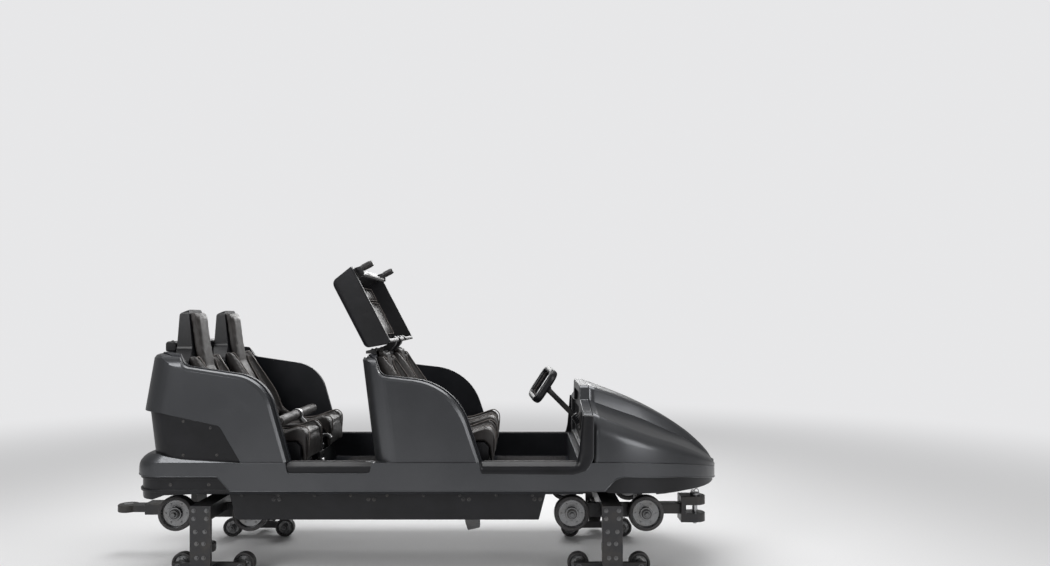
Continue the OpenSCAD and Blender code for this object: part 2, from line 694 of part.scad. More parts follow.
tube_at = [18, 498];
tube_r = 17;
grip_h = 526;
grip_y = 400;
grip_r = 20;
module restraint_grips() color(steel) in_hood() {
    cross_bar(tube_at, tube_r, -grip_y, grip_y);
    for (y = [-grip_y, grip_y]) {
        translate([40, y, grip_h]) rotate([0, 90, 0]) cylinder(r = grip_r, h = 80);
        across([[0, 527], [2, 480], [36, 480], [50, 512], [50, 540], [0, 549]], y - 14, y + 14);
    }
}

post_half = 420;
module restraint_post() color(black) {
    x1 = front_hip_x - 330;
    x0 = front_hip_x - 422;
    plate_x1 = x1 - 24;
    base = ledge_z + front_deck_h + liner_lip;
    top1 = ledge_z + front_deck_h + 50;
    across([[x0, base], [x0, top1 - 22], [plate_x1, top1 - 6], [plate_x1, base]], -post_half, post_half);
    for (side = [-1, 1]) {
        across([[x1 - 40, base], [x1 - 40, top1 - 9], [hinge_x - 26, hinge_z - 24], [hinge_x - 15, hinge_z - 4],
                [hinge_x + 15, hinge_z - 4], [hinge_x + 4, hinge_z - 40], [x1 + 14, base]],
               side * lug_y - lug_w / 2, side * lug_y + lug_w / 2);
        cross_bar([hinge_x, hinge_z], 16, side * lug_y - lug_w / 2, side * lug_y + lug_w / 2);
        cross_bar([hinge_x, hinge_z], hinge_pin_r, side * lug_y - lug_w / 2 - pin_reach,
                  side * lug_y + lug_w / 2 + pin_reach);
    }
}

// Lap bar of the rear row: a padded roll on one arm between the seats
lap_pivot = [rear_hip_x + 380, ledge_z - 117];
lap_knee = [rear_hip_x + 378, ledge_z + 50];
lap_roll = [rear_hip_x + 214, ledge_z + 218];
lap_arm_r = 18;
lap_pin_r = 12;
ring_w = 40;
ring_r = 42;

module lap_bar() color(steel) difference() {
    union() {
        bar([lap_pivot[0], 0, lap_pivot[1]], [lap_knee[0], 0, lap_knee[1]], lap_arm_r);
        translate([lap_knee[0], 0, lap_knee[1]]) sphere(r = lap_arm_r + 2);
        bar([lap_knee[0], 0, lap_knee[1]], [lap_roll[0], 0, lap_roll[1]], lap_arm_r);
        cross_bar(lap_roll, ring_r, -ring_w / 2, ring_w / 2);
        cross_bar(lap_roll, 14, -roll_len / 2 + 6, roll_len / 2 - 6);
        cross_bar(lap_pivot, 30, -22, 22);
    }
    cross_bar(lap_pivot, lap_pin_r + run_gap, -40, 40);
}

module lap_bar_pads() color(leather)
    both_sides() difference() {
        cross_bar(lap_roll, roll_r, ring_w / 2 + seat_gap, roll_len / 2);
        cross_bar(lap_roll, 14 + seat_gap, ring_w / 2 - eps, roll_len / 2 - 5);
    }

module lap_bar_bracket() color(steel) {
    base = floor_z + floor_t;
    translate([lap_pivot[0] - 70, -60, base]) cube([140, 120, 10]);
    both_sides() across([[lap_pivot[0] - 45, base + 10], [lap_pivot[0] - 24, lap_pivot[1] + 22],
                         [lap_pivot[0] + 24, lap_pivot[1] + 22], [lap_pivot[0] + 45, base + 10]], 28, 40);
    cross_bar(lap_pivot, lap_pin_r, -46, 46);
}

// Grab handle: a rounded rectangular wheel with a dished middle spoke, on a column from the dash.
// It is turned a little about its long axis.
handle_at = [front_hip_x + 750, ledge_z + 433];
handle_lean = 33;
handle_turn = -8;
handle_h = 262;
handle_w = 330;
limb_w = 42;
limb_t = 56;
column_r = 19;
column_slope = 45;
spoke_w = 44;

module handle_outline(inset, r) {
    polygon(rounded([[inset - handle_h / 2, inset - handle_w / 2, r], [handle_h / 2 - inset, inset - handle_w / 2, r],
                     [handle_h / 2 - inset, handle_w / 2 - inset, r], [inset - handle_h / 2, handle_w / 2 - inset, r]]));
}

module column_bar(from_x, to_x, r)
    bar([from_x, 0, -from_x * tan(column_slope)], [to_x, 0, -to_x * tan(column_slope)], r);

module grab_handle() color(black) difference() {
    dash_run = dash_face_x - handle_at[0];
    translate([handle_at[0], 0, handle_at[1]]) {
        rotate([0, 90 + handle_lean, 0]) rotate([handle_turn, 0, 0]) translate([0, 0, -limb_t / 2]) {
            linear_extrude(limb_t) difference() {
                handle_outline(0, 60);
                handle_outline(limb_w, 30);
            }
            translate([limb_w / 2 - handle_h / 2, -spoke_w / 2, limb_t / 2])
                cube([handle_h - limb_w, spoke_w, limb_t / 2]);
        }
        column_bar(0, dash_run + 60, column_r);
        column_bar(0, 50, column_r + 14);
        column_bar(dash_run - 14, dash_run + 60, column_r + 16);
    }
    // flat foot on the dash
    translate([dash_face_x, -100, ledge_z]) cube([150, 200, 400]);
}

// Bogies
inner_beam_y = gauge / 2 - road_w / 2 - 75;
plate_y = guide_y + guide_r + 12;

module bogie_side() {
    road_in = gauge / 2 - road_w / 2;
    road_out = gauge / 2 + road_w / 2;
    up_in = gauge / 2 - upstop_w / 2;
    up_out = gauge / 2 + upstop_w / 2;
    // beam inside the rail, with the road axles
    translate([-road_half_base - 70, inner_beam_y, road_z - 45]) cube([2 * road_half_base + 140, 50, 90]);
    for (x = [-road_half_base, road_half_base]) {
        cross_bar([x, road_z], road_axle_r, inner_beam_y + 40, road_out + 14);
        cross_bar([x, road_z], road_axle_r + 12, inner_beam_y + 40, road_in - end_gap);
        cross_bar([x, road_z], road_axle_r + 12, road_out + end_gap, road_out + 10);
    }
    // arm over the rail to the outboard plate
    translate([-60, 0, road_z + 5]) cube([120, plate_y + plate_t, bolster_top_z - road_z - 5]);
    across([[-65, bolster_top_z], [-65, 150], [-48, upstop_z - 32], [48, upstop_z - 32], [65, 150], [65, bolster_top_z]],
           plate_y, plate_y + plate_t);
    // fork of the guide wheel
    for (z = [rail_z - guide_w / 2 - end_gap - 14, rail_z + guide_w / 2 + end_gap])
        translate([0, 0, z]) {
            translate([-32, guide_y, 0]) cube([64, plate_y - guide_y, 14]);
            translate([0, guide_y, 0]) cylinder(r = 32, h = 14);
        }
    translate([0, guide_y, rail_z - guide_w / 2 - 20]) cylinder(r = small_axle_r, h = guide_w + 40);
    // beam outside and below the rail, with the upstop axles
    beam_in = up_out + 28;
    translate([-upstop_half_base - 34, beam_in, upstop_z - 24]) cube([2 * upstop_half_base + 68, 32, 48]);
    translate([-44, beam_in, upstop_z - 24]) cube([88, plate_y - beam_in, 48]);
    for (x = [-upstop_half_base, upstop_half_base]) {
        cross_bar([x, upstop_z], small_axle_r, up_in - 12, beam_in + 20);
        cross_bar([x, upstop_z], small_axle_r + 9, up_out + end_gap, beam_in + 10);
        cross_bar([x, upstop_z], small_axle_r + 9, up_in - 8, up_in - end_gap);
    }
}

module bogie_frame(x) {
    color(black) translate([x, 0, 0]) {
        both_sides() bogie_side();
        translate([0, 0, bolster_top_z - 10]) cylinder(r = kingpin_r, h = 58);
        translate([0, 0, bolster_top_z - 10]) cylinder(r = kingpin_r + 35, h = 14.5);
    }
}

module bogie_frame_front() bogie_frame(bogie_front_x);
module bogie_frame_rear() bogie_frame(bogie_rear_x);

// Wheels: a tread on a dished disc with a hub, turned about its axle
module wheel(r, w, bore) {
    h = w / 2;
    rim = r * 0.82;
    hub = bore + 0.2 * r;
    color(tread) rotate_extrude($fn = 64) polygon([
        [bore, -h], [hub, -h], [hub + 3, -0.4 * h], [rim - 4, -0.4 * h], [rim, -0.92 * h], [0.96 * r, -0.92 * h],
        [r, -0.72 * h], [r, 0.72 * h], [0.96 * r, 0.92 * h], [rim, 0.92 * h], [rim - 4, 0.4 * h],
        [hub + 3, 0.4 * h], [hub, h], [bore, h]]);
}

module wheel_y(x, y, z, r, w, bore) {
    translate([x, y, z]) rotate([90, 0, 0]) wheel(r, w, bore);
}

// Wheel places: [name, bogie x, end along the car, side]
wheel_table = [for (b = [["front", bogie_front_x], ["rear", bogie_rear_x]])
    for (e = [["fore", 1], ["aft", -1]])
    for (s = [["left", 1], ["right", -1]])
        [str(b[0], "_", e[0], "_", s[0]), b[1], e[1], s[1]]];
guide_table = [for (b = [["front", bogie_front_x], ["rear", bogie_rear_x]])
    for (s = [["left", 1], ["right", -1]]) [str(b[0], "_", s[0]), b[1], s[1]]];

underframe();
tub();
lower_body();
rear_cowl();
rear_cowl_base();
front_cowl();
rear_liner();
front_liner();
nose_shell();
nose_spine();
nose_surround();
dash();
sill_trims();
front_bumper();
rear_bumper();
valances();
seat_shells_front();
seat_shells_rear();
seat_pads_front();
seat_pads_rear();
headrest_beam();
grab_handle();
restraint_post();
restraint_shell();
restraint_pad();
restraint_grips();
lap_bar_bracket();
lap_bar();
lap_bar_pads();
chain_dog();
coupler_front();
coupler_rear();
bogie_frame_front();
bogie_frame_rear();
for (w = wheel_table) {
    wheel_y(w[1] + w[2] * road_half_base, w[3] * gauge / 2, road_z, road_r, road_w, road_axle_r + run_gap);
    wheel_y(w[1] + w[2] * upstop_half_base, w[3] * gauge / 2, upstop_z, upstop_r, upstop_w, small_axle_r + run_gap);
}
for (w = guide_table)
    translate([w[1], w[2] * guide_y, rail_z]) wheel(guide_r, guide_w, small_axle_r + run_gap);
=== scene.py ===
"""Looks of the roller coaster car. +X points to the nose, +Y to the car's left, +Z up, in metres."""
import json
import random
from math import atan2, copysign, cos, pi, radians, sin, sqrt, tan

import bmesh
import bpy
from mathutils import Matrix, Vector


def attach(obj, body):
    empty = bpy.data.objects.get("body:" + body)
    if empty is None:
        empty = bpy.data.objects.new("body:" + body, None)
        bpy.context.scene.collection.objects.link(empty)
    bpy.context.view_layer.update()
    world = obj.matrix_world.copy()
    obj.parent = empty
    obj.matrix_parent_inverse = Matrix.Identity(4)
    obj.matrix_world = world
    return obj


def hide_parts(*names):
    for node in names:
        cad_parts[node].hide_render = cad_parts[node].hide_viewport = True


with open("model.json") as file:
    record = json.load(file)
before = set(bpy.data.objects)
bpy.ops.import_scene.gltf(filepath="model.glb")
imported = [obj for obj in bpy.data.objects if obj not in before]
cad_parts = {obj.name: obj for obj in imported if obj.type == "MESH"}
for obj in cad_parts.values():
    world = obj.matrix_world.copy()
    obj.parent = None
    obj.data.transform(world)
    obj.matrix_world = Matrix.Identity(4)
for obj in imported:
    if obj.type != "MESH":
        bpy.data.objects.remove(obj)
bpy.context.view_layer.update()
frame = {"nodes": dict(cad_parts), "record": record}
nodes = frame["nodes"]

# Main sizes, as in the CAD source
HALF_W = 0.700
COWL_INSET = 0.012
LEDGE_Z = 0.767
FLOOR_TOP = 0.580
NOSE_START_X = 1.300
NOSE_TIP_X = 2.110
NOSE_POWER = 1.8
SEAM_X = 1.200
TAIL_X = -1.700
TAIL_CORNER_R = 0.200
HIP_X = {"rear": -1.060, "front": 0.150}
SEAT_Y = 0.310
HOOD_LEAN = radians(27.4)
HOOD_FOOT = Vector((-0.096, 0, 1.510))
BOGIE_X = {"front": 1.320, "rear": -1.260}
GAUGE_HALF = 0.440  # from the car's middle to the middle of a rail, and of its road wheels
ROAD_X, ROAD_Z = 0.242, 0.395  # road wheels' axles, ahead of and behind the bogie's middle
UPSTOP_X, UPSTOP_Z = 0.200, 0.070
GUIDE_Y, GUIDE_Z = 0.570, 0.210
SHARP_EDGE = 32  # degrees: edges over this stay sharp in the shading of the CAD nodes
WELD_GAP = 0.00003  # points of a CAD node closer than this are joined before its edges are rounded
FLAT_ANGLE = 0.6  # degrees: its faces that meet at less than this become one
AHEAD, BACK, OUT, IN, UP, DOWN = (1, 0, 0), (-1, 0, 0), (0, 1, 0), (0, -1, 0), (0, 0, 1), (0, 0, -1)


def give(owner, **settings):
    """Sets several settings of one owner."""
    for name, value in settings.items():
        setattr(owner, name, value)
    return owner


class Nodes:
    """A node tree, with short calls that add nodes and link them."""

    def __init__(self, tree):
        self.tree = tree
        tree.nodes.clear()

    def put(self, socket, value):
        """Links a node's output, or a node's first output, to a socket, or gives it a number or a colour."""
        if isinstance(value, bpy.types.Node):
            value = value.outputs[0]
        if isinstance(value, bpy.types.NodeSocket):
            self.tree.links.new(value, socket)
        elif socket.type == "RGBA":
            socket.default_value = (*value, 1.0)
        else:
            socket.default_value = value

    def node(self, kind, inputs=None, **settings):
        """Adds a node, sets its settings, and puts a value in each of its inputs."""
        made = give(self.tree.nodes.new(kind), **settings)
        for name, value in (inputs or {}).items():
            self.put(made.inputs[name], value)
        return made


class Shader(Nodes):
    """A material with one Principled shader and patterns in the object's own coordinates."""

    def __init__(self, name):
        self.mat = bpy.data.materials.new(name)
        self.mat.use_nodes = True
        super().__init__(self.mat.node_tree)
        self.bsdf = self.node("ShaderNodeBsdfPrincipled")
        self.out = self.node("ShaderNodeOutputMaterial", {"Surface": self.bsdf})
        self.place = self.node("ShaderNodeTexCoord").outputs["Object"]

    def set(self, **values):
        for name, value in values.items():
            self.put(self.bsdf.inputs[name.replace("_", " ")], value)

    def noise(self, scale, detail=3.0, roughness=0.55, stretch=None, distortion=0.0):
        place = self.place
        if stretch:
            place = self.node("ShaderNodeMapping", {"Scale": stretch, "Vector": place})
        return self.node("ShaderNodeTexNoise", {"Scale": scale, "Detail": detail, "Roughness": roughness,
                                                "Distortion": distortion, "Vector": place})

    def cells(self, scale, feature="F1", randomness=1.0):
        return self.node("ShaderNodeTexVoronoi", {"Scale": scale, "Randomness": randomness,
                                                  "Vector": self.place}, feature=feature)

    def ramp(self, value, low, high, to_low=0.0, to_high=1.0):
        return self.node("ShaderNodeMapRange", {
            "Value": value, "From Min": low, "From Max": high, "To Min": to_low, "To Max": to_high},
            interpolation_type="SMOOTHSTEP")

    def math(self, kind, a, b):
        return self.node("ShaderNodeMath", {0: a, 1: b}, operation=kind)

    def mix(self, factor, a, b):
        return self.node("ShaderNodeMix", {"Factor": factor, 6: a, 7: b}, data_type="RGBA").outputs[2]

    def cloudy(self, value, a, b):
        """Mixes two colours by a pattern's value."""
        return self.mix(self.ramp(value, 0.3, 0.7), a, b)

    def bump(self, height, strength, distance, after=None):
        made = self.node("ShaderNodeBump", {"Strength": strength, "Distance": distance, "Height": height})
        if after is not None:
            self.put(made.inputs["Normal"], after)
        return made

    def edges(self, radius=0.004):
        """1 along edges, 0 on flat faces: how far a rounded normal leaves the true one."""
        rounded = self.node("ShaderNodeBevel", {"Radius": radius}, samples=3)
        true = self.node("ShaderNodeNewGeometry").outputs["Normal"]
        dot = self.node("ShaderNodeVectorMath", {0: rounded, 1: true}, operation="DOT_PRODUCT")
        return self.ramp(dot.outputs["Value"], 0.99, 0.86)


# Materials
def make_paint():
    """Graphite metallic paint with fine flakes, a thin coat, dust, and paler worn edges."""
    s = Shader("paint_graphite")
    cloud = s.noise(2.2, 4, 0.5)
    flake = s.cells(1500)
    fine = s.noise(420, 2)
    worn = s.math("MULTIPLY", s.edges(0.003), s.ramp(s.noise(26, 5, 0.7), 0.48, 0.66))
    colour = s.cloudy(cloud, (0.058, 0.060, 0.065), (0.070, 0.072, 0.077))
    colour = s.mix(s.ramp(flake, 0.0, 0.5, 0.35, 0.0), colour, (0.15, 0.155, 0.165))
    colour = s.mix(s.math("MULTIPLY", worn, 0.45), colour, (0.30, 0.30, 0.31))
    dust = s.ramp(s.noise(9, 6, 0.65), 0.45, 0.8, 0.0, 0.06)
    s.set(Base_Color=colour, Metallic=0.72, Coat_Weight=0.30, Coat_Roughness=0.16,
          Roughness=s.math("ADD", s.ramp(fine, 0.3, 0.7, 0.30, 0.37), dust),
          Normal=s.bump(s.noise(900, 2), 0.10, 0.0004, s.bump(s.noise(60, 2), 0.04, 0.002)))
    return s.mat


def make_plastic(name, dark, light, rough, grain):
    """Moulded plastic with a fine leather-like grain, scuffs, and a painted highlight along its edges."""
    s = Shader(name)
    scuff = s.ramp(s.noise(30, 6, 0.7, stretch=(0.35, 1, 1)), 0.5, 0.74)
    colour = s.cloudy(s.noise(5, 4), dark, light)
    # Painted highlight: every edge is lightened evenly towards a paler copy of the plastic's colour.
    colour = s.mix(s.math("MULTIPLY", s.edges(), 0.35), colour, [3.0 * c + 0.02 for c in light])
    s.set(Base_Color=colour, Specular_IOR_Level=0.32,
          Roughness=s.math("ADD", rough, s.math("MULTIPLY", scuff, 0.12)),
          Normal=s.bump(s.cells(grain, "SMOOTH_F1"), 0.22, 0.0007, s.bump(s.noise(240, 3), 0.08, 0.0008)))
    return s.mat


def make_leather():
    """Dark grey-brown leather with pores, creases and an uneven sheen."""
    s = Shader("leather_seat")
    pores = s.cells(330, "SMOOTH_F1", 0.9)
    crease = s.noise(36, 5, 0.7, distortion=0.6)
    colour = s.cloudy(s.noise(4.5, 3), (0.020, 0.0175, 0.017), (0.030, 0.026, 0.0245))
    colour = s.mix(s.ramp(pores, 0.0, 0.35, 0.55, 0.0), colour, (0.010, 0.009, 0.0085))
    colour = s.mix(s.math("MULTIPLY", s.ramp(crease, 0.52, 0.75), 0.35), colour, (0.050, 0.043, 0.040))
    s.set(Base_Color=colour, Roughness=s.ramp(s.noise(18, 4), 0.3, 0.7, 0.36, 0.52), Specular_IOR_Level=0.5,
          Sheen_Weight=0.06, Sheen_Roughness=0.4,
          Normal=s.bump(pores, 0.30, 0.0010, s.bump(crease, 0.22, 0.0025)))
    return s.mat


def make_stitch():
    """Twisted thread and welting, a little paler than the leather."""
    s = Shader("stitch_thread")
    twist = s.noise(1600, 2)
    s.set(Base_Color=s.cloudy(twist, (0.10, 0.088, 0.082), (0.17, 0.15, 0.14)),
          Roughness=0.7, Normal=s.bump(twist, 0.4, 0.0004))
    return s.mat


def make_black_metal():
    """Black paint on steel, with grime and bare metal where edges are chipped."""
    s = Shader("metal_black_paint")
    chips = s.math("MULTIPLY", s.edges(), s.ramp(s.noise(38, 6, 0.75), 0.45, 0.62))
    grime = s.ramp(s.noise(7, 6, 0.65), 0.4, 0.75)
    colour = s.mix(grime, (0.016, 0.016, 0.018), (0.040, 0.036, 0.032))
    colour = s.mix(s.math("MULTIPLY", chips, 0.7), colour, (0.22, 0.21, 0.20))
    s.set(Base_Color=colour, Metallic=s.math("MULTIPLY", chips, 0.8), Specular_IOR_Level=0.5,
          Roughness=s.math("ADD", 0.34, s.math("MULTIPLY", grime, 0.28)),
          Normal=s.bump(s.noise(320, 4, 0.6), 0.16, 0.0008))
    return s.mat


def make_steel(name, stretch, tone):
    """Bare machined steel. The scratches run along the direction with the low stretch."""
    s = Shader(name)
    line = s.noise(3.0, 5, 0.6, stretch=stretch)
    stain = s.ramp(s.noise(16, 5), 0.45, 0.75)
    dark = (0.82 * tone, 0.83 * tone, 0.85 * tone)
    colour = s.cloudy(line, dark, (tone, tone, 1.01 * tone))
    colour = s.mix(s.math("MULTIPLY", stain, 0.35), colour, (0.17, 0.155, 0.14))
    s.set(Base_Color=colour, Metallic=0.95, Roughness=s.ramp(line, 0.3, 0.7, 0.24, 0.40),
          Normal=s.bump(line, 0.10, 0.0006))
    return s.mat


def make_tread():
    """Dark polyurethane or rubber with fine specks."""
    s = Shader("tread_polyurethane")
    colour = s.mix(s.ramp(s.noise(130, 5, 0.7), 0.5, 0.7), (0.026, 0.024, 0.025), (0.060, 0.056, 0.053))
    s.set(Base_Color=colour, Roughness=s.ramp(s.noise(40, 5), 0.3, 0.7, 0.42, 0.64),
          Normal=s.bump(s.noise(260, 4), 0.20, 0.0007))
    return s.mat


def make_floor():
    """Pale floor that fades into the background far from the object, and doesn't show from below."""
    s = Shader("floor_pale")
    s.set(Base_Color=s.cloudy(s.noise(90, 3), (0.74, 0.74, 0.745), (0.77, 0.77, 0.775)),
          Roughness=0.62)
    away = s.node("ShaderNodeVectorMath", {0: s.place}, operation="LENGTH")
    seen = s.node("ShaderNodeLightPath")  # its first output tells a camera ray
    far = s.math("MULTIPLY", s.ramp(away.outputs["Value"], 2.6, 11.0), seen)
    glow = s.node("ShaderNodeEmission", {"Color": BACKGROUND})
    fade = s.node("ShaderNodeMixShader", {0: far, 1: s.bsdf, 2: glow})
    below = s.node("ShaderNodeNewGeometry").outputs["Backfacing"]
    clear = s.node("ShaderNodeBsdfTransparent")
    under = s.node("ShaderNodeMixShader", {0: below, 1: fade, 2: clear})
    s.put(s.out.inputs["Surface"], under)
    return s.mat


BACKGROUND = (0.80, 0.80, 0.81)
M = {
    "paint": make_paint(),
    "trim": make_plastic("plastic_trim", (0.006, 0.006, 0.007), (0.010, 0.010, 0.012), 0.34, 620),
    "liner": make_plastic("plastic_liner", (0.009, 0.010, 0.013), (0.015, 0.016, 0.020), 0.44, 420),
    "leather": make_leather(),
    "stitch": make_stitch(),
    "black_metal": make_black_metal(),
    "steel": make_steel("metal_steel", (6, 220, 220), 0.46),
    "hub": make_steel("metal_hub", (11, 11, 11), 0.24),
    "dark_steel": make_steel("metal_dark", (9, 160, 160), 0.17),
    "tread": make_tread(),
}
# The material of a CAD node by its slot
SLOT_MATERIAL = {"body_paint": "paint", "black_trim": "trim", "liner": "liner", "leather": "leather",
                 "black_metal": "black_metal", "steel": "steel", "wheel_tread": "tread"}

# Camera, light and floor
PHOTO_WIDTH = 1050  # pixels
FOCAL = 785  # pixels, worked out from the photo, as are the eye's place and the shift
EYE = (0.76, -5.576, 1.655)
SHIFT = (2, 37)  # pixels
SENSOR = 36.0  # millimetres
SOFTBOXES = {  # name: place, aim, size, power in watts
    "softbox_top": ((0.2, 0.6, 4.6), (0.2, 0, 0.8), (5.5, 2.2), 190),
    "softbox_key": ((-3.4, -4.8, 3.6), (0, 0, 0.8), (2.6, 2.6), 165),
    "softbox_fill": ((4.6, -4.2, 2.2), (0.4, 0, 0.7), (2.4, 2.4), 85),
    "softbox_back": ((0.0, 5.0, 3.0), (0, 0, 0.9), (5.0, 1.4), 110),
}
FLOOR_HALF = 60


def new_object(name, data):
    made = bpy.data.objects.new(name, data)
    bpy.context.collection.objects.link(made)
    return made


def new_mesh(name, points, faces):
    """An object with a mesh of points and faces."""
    mesh = bpy.data.meshes.new(name)
    mesh.from_pydata([tuple(p) for p in points], [], [tuple(f) for f in faces])
    return new_object(name, mesh)


def make_camera():
    data = bpy.data.cameras.new("camera")
    give(data, sensor_width=SENSOR, lens=FOCAL / PHOTO_WIDTH * SENSOR, shift_x=SHIFT[0] / PHOTO_WIDTH,
         shift_y=SHIFT[1] / PHOTO_WIDTH, clip_end=200)
    camera = new_object("camera", data)
    give(camera, location=EYE, rotation_euler=(radians(90), 0, 0))
    bpy.context.scene.camera = camera


def make_lamps():
    for name, (place, aim, size, power) in SOFTBOXES.items():
        data = bpy.data.lights.new(name, "AREA")
        give(data, shape="RECTANGLE", size=size[0], size_y=size[1], energy=power)
        turn = (Vector(aim) - Vector(place)).to_track_quat("-Z", "Y")
        give(new_object(name, data), location=place, rotation_euler=turn.to_euler())


def make_world():
    """Soft light that grows towards the zenith. The camera sees a plain pale background."""
    world = bpy.data.worlds.new("studio")
    world.use_nodes = True
    w = Nodes(world.node_tree)
    direction = w.node("ShaderNodeSeparateXYZ", {0: w.node("ShaderNodeTexCoord")})
    grade = w.node("ShaderNodeMapRange", {
        "Value": direction.outputs["Z"], "From Min": -0.1, "From Max": 0.9, "To Min": 0.22, "To Max": 0.50})
    soft = w.node("ShaderNodeBackground", {"Strength": grade})
    pale = w.node("ShaderNodeBackground", {"Color": BACKGROUND})
    seen = w.node("ShaderNodeLightPath")
    pick = w.node("ShaderNodeMixShader", {0: seen, 1: soft, 2: pale})
    w.node("ShaderNodeOutputWorld", {"Surface": pick})
    bpy.context.scene.world = world


def make_floor_plane():
    r = FLOOR_HALF
    floor = new_mesh("floor", [(-r, -r, 0), (r, -r, 0), (r, r, 0), (-r, r, 0)], [(0, 1, 2, 3)])
    floor.data.materials.append(make_floor())


def piece(name, points, faces, material, body="car", slot=None, replaces=(), smooth=40):
    """A new mesh piece that rides on a body. smooth is the angle over which its edges stay sharp."""
    made = new_mesh(name, points, faces)
    mesh = made.data
    mesh.validate()
    face_outwards(mesh)
    mesh.materials.append(M[material])
    mesh.shade_smooth()
    mesh.set_sharp_from_angle(angle=radians(smooth))
    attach(made, body)
    if replaces:
        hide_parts(*replaces)
    return made


def face_outwards(mesh):
    shape = bmesh.new()
    shape.from_mesh(mesh)
    bmesh.ops.recalc_face_normals(shape, faces=shape.faces)
    shape.to_mesh(mesh)
    shape.free()


def angle_group():
    """A node group that shades smooth and keeps edges over an angle sharp."""
    group = bpy.data.node_groups.new("smooth_by_angle", "GeometryNodeTree")
    for way in ("INPUT", "OUTPUT"):
        group.interface.new_socket("Geometry", in_out=way, socket_type="NodeSocketGeometry")
    g = Nodes(group)
    smooth = g.node("GeometryNodeSetShadeSmooth", {
        "Geometry": g.node("NodeGroupInput"), "Shade Smooth": True}, domain="FACE")
    angle = g.node("GeometryNodeInputMeshEdgeAngle").outputs["Unsigned Angle"]
    over = g.node("FunctionNodeCompare", {"A": angle, "B": radians(SHARP_EDGE)},
                  data_type="FLOAT", operation="GREATER_THAN")
    sharp = g.node("GeometryNodeSetShadeSmooth", {
        "Geometry": smooth, "Selection": over, "Shade Smooth": False}, domain="EDGE")
    g.node("NodeGroupOutput", {0: sharp})
    return group


def bevel(obj, width, angle, group):
    """Rounds a CAD node's edges over an angle in degrees, by modifiers, which leave its mesh as it is."""
    new = obj.modifiers.new
    give(new("weld", "WELD"), merge_threshold=WELD_GAP)
    give(new("flat_faces", "DECIMATE"), decimate_type="DISSOLVE", angle_limit=radians(FLAT_ANGLE))
    give(new("round_edges", "BEVEL"), width=width, segments=3, limit_method="ANGLE",
         angle_limit=radians(angle), use_clamp_overlap=True)
    give(new("smooth_by_angle", "NODES"), node_group=group)
    give(new("even_normals", "WEIGHTED_NORMAL"), keep_sharp=True)


# Outlines and swept forms
def fillet(corners, radius, steps=5, closed=False):
    """Rounds the corners of a polyline in 2-D. radius is one number or one for each corner."""
    pts = [Vector(c) for c in corners]
    n = len(pts)
    radii = radius if isinstance(radius, (list, tuple)) else [radius] * n
    out = []
    for i, p in enumerate(pts):
        if not closed and i in (0, n - 1):
            out.append(p.copy())
            continue
        a, b = pts[i - 1] - p, pts[(i + 1) % n] - p
        half = a.angle(b) / 2
        if radii[i] <= 0 or half > radians(89.5):
            out.extend([p.copy() for _ in range(steps + 1)])
            continue
        reach = min(radii[i] / tan(half), a.length * 0.48, b.length * 0.48)
        start, end = p + a.normalized() * reach, p + b.normalized() * reach
        for k in range(steps + 1):
            t = k / steps
            out.append(start * (1 - t) ** 2 + p * 2 * t * (1 - t) + end * t ** 2)
    return out


def smooth_path(points, steps=8):
    """A Catmull-Rom curve through points."""
    pts = [Vector(p) for p in points]
    pts = [2 * pts[0] - pts[1]] + pts + [2 * pts[-1] - pts[-2]]
    out = []
    for i in range(1, len(pts) - 2):
        a, b, c, d = pts[i - 1:i + 3]
        for k in range(steps):
            t = k / steps
            out.append(0.5 * ((2 * b) + (c - a) * t + (2 * a - 5 * b + 4 * c - d) * t * t
                              + (3 * b - a - 3 * c + d) * t ** 3))
    out.append(pts[-2])
    return out


def skin(rings, close_ring=False, cap=(False, False)):
    """Points and quads through rings of equal length."""
    points = [p for ring in rings for p in ring]
    n = len(rings[0])
    faces = []
    for i in range(len(rings) - 1):
        for j in range(n if close_ring else n - 1):
            k = (j + 1) % n
            faces.append((i * n + j, i * n + k, (i + 1) * n + k, (i + 1) * n + j))
    if cap[0]:
        faces.append(tuple(range(n - 1, -1, -1)))
    if cap[1]:
        faces.append(tuple((len(rings) - 1) * n + j for j in range(n)))
    return points, faces


def sweep(path, section, up=OUT, closed=False, scale=None):
    """A section, given as (side, up) pairs, carried along a path of points."""
    path = [Vector(p) for p in path]
    up = Vector(up).normalized()
    rings = []
    for i, p in enumerate(path):
        before = path[i - 1] if closed or i else p
        after = path[(i + 1) % len(path)] if closed or i + 1 < len(path) else p
        ahead = (after - before).normalized()
        side = ahead.cross(up).normalized()
        true_up = side.cross(ahead).normalized()
        k = scale[i] if scale else 1.0
        rings.append([p + side * (a * k) + true_up * (b * k) for a, b in section])
    if closed:
        rings.append(rings[0])
    return skin(rings, close_ring=True, cap=(not closed, not closed))


def circle(count, start=0.0):
    """Cosine and sine of even steps round a circle."""
    angles = [start + 2 * pi * k / count for k in range(count)]
    return [(cos(t), sin(t)) for t in angles]


def ellipse(a, b, count=16, power=2.0):
    """An ellipse, or with a higher power a rounded rectangle, of half sizes a and b."""
    return [(a * copysign(abs(c) ** (2 / power), c), b * copysign(abs(s) ** (2 / power), s))
            for c, s in circle(count)]


def facing(axis):
    """The turn from the Z axis to an axis."""
    return Vector(axis).normalized().to_track_quat("Z", "Y").to_matrix()


def turned(profile, centre, axis, segments=40):
    """Points and quads of a profile, (radius, height) pairs, turned about an axis through centre."""
    turn = facing(axis)
    rings = [[Vector(centre) + turn @ Vector((r * c, r * s, h)) for c, s in circle(segments)]
             for r, h in profile]
    return skin(rings, close_ring=True, cap=(profile[0][0] > 0, profile[-1][0] > 0))


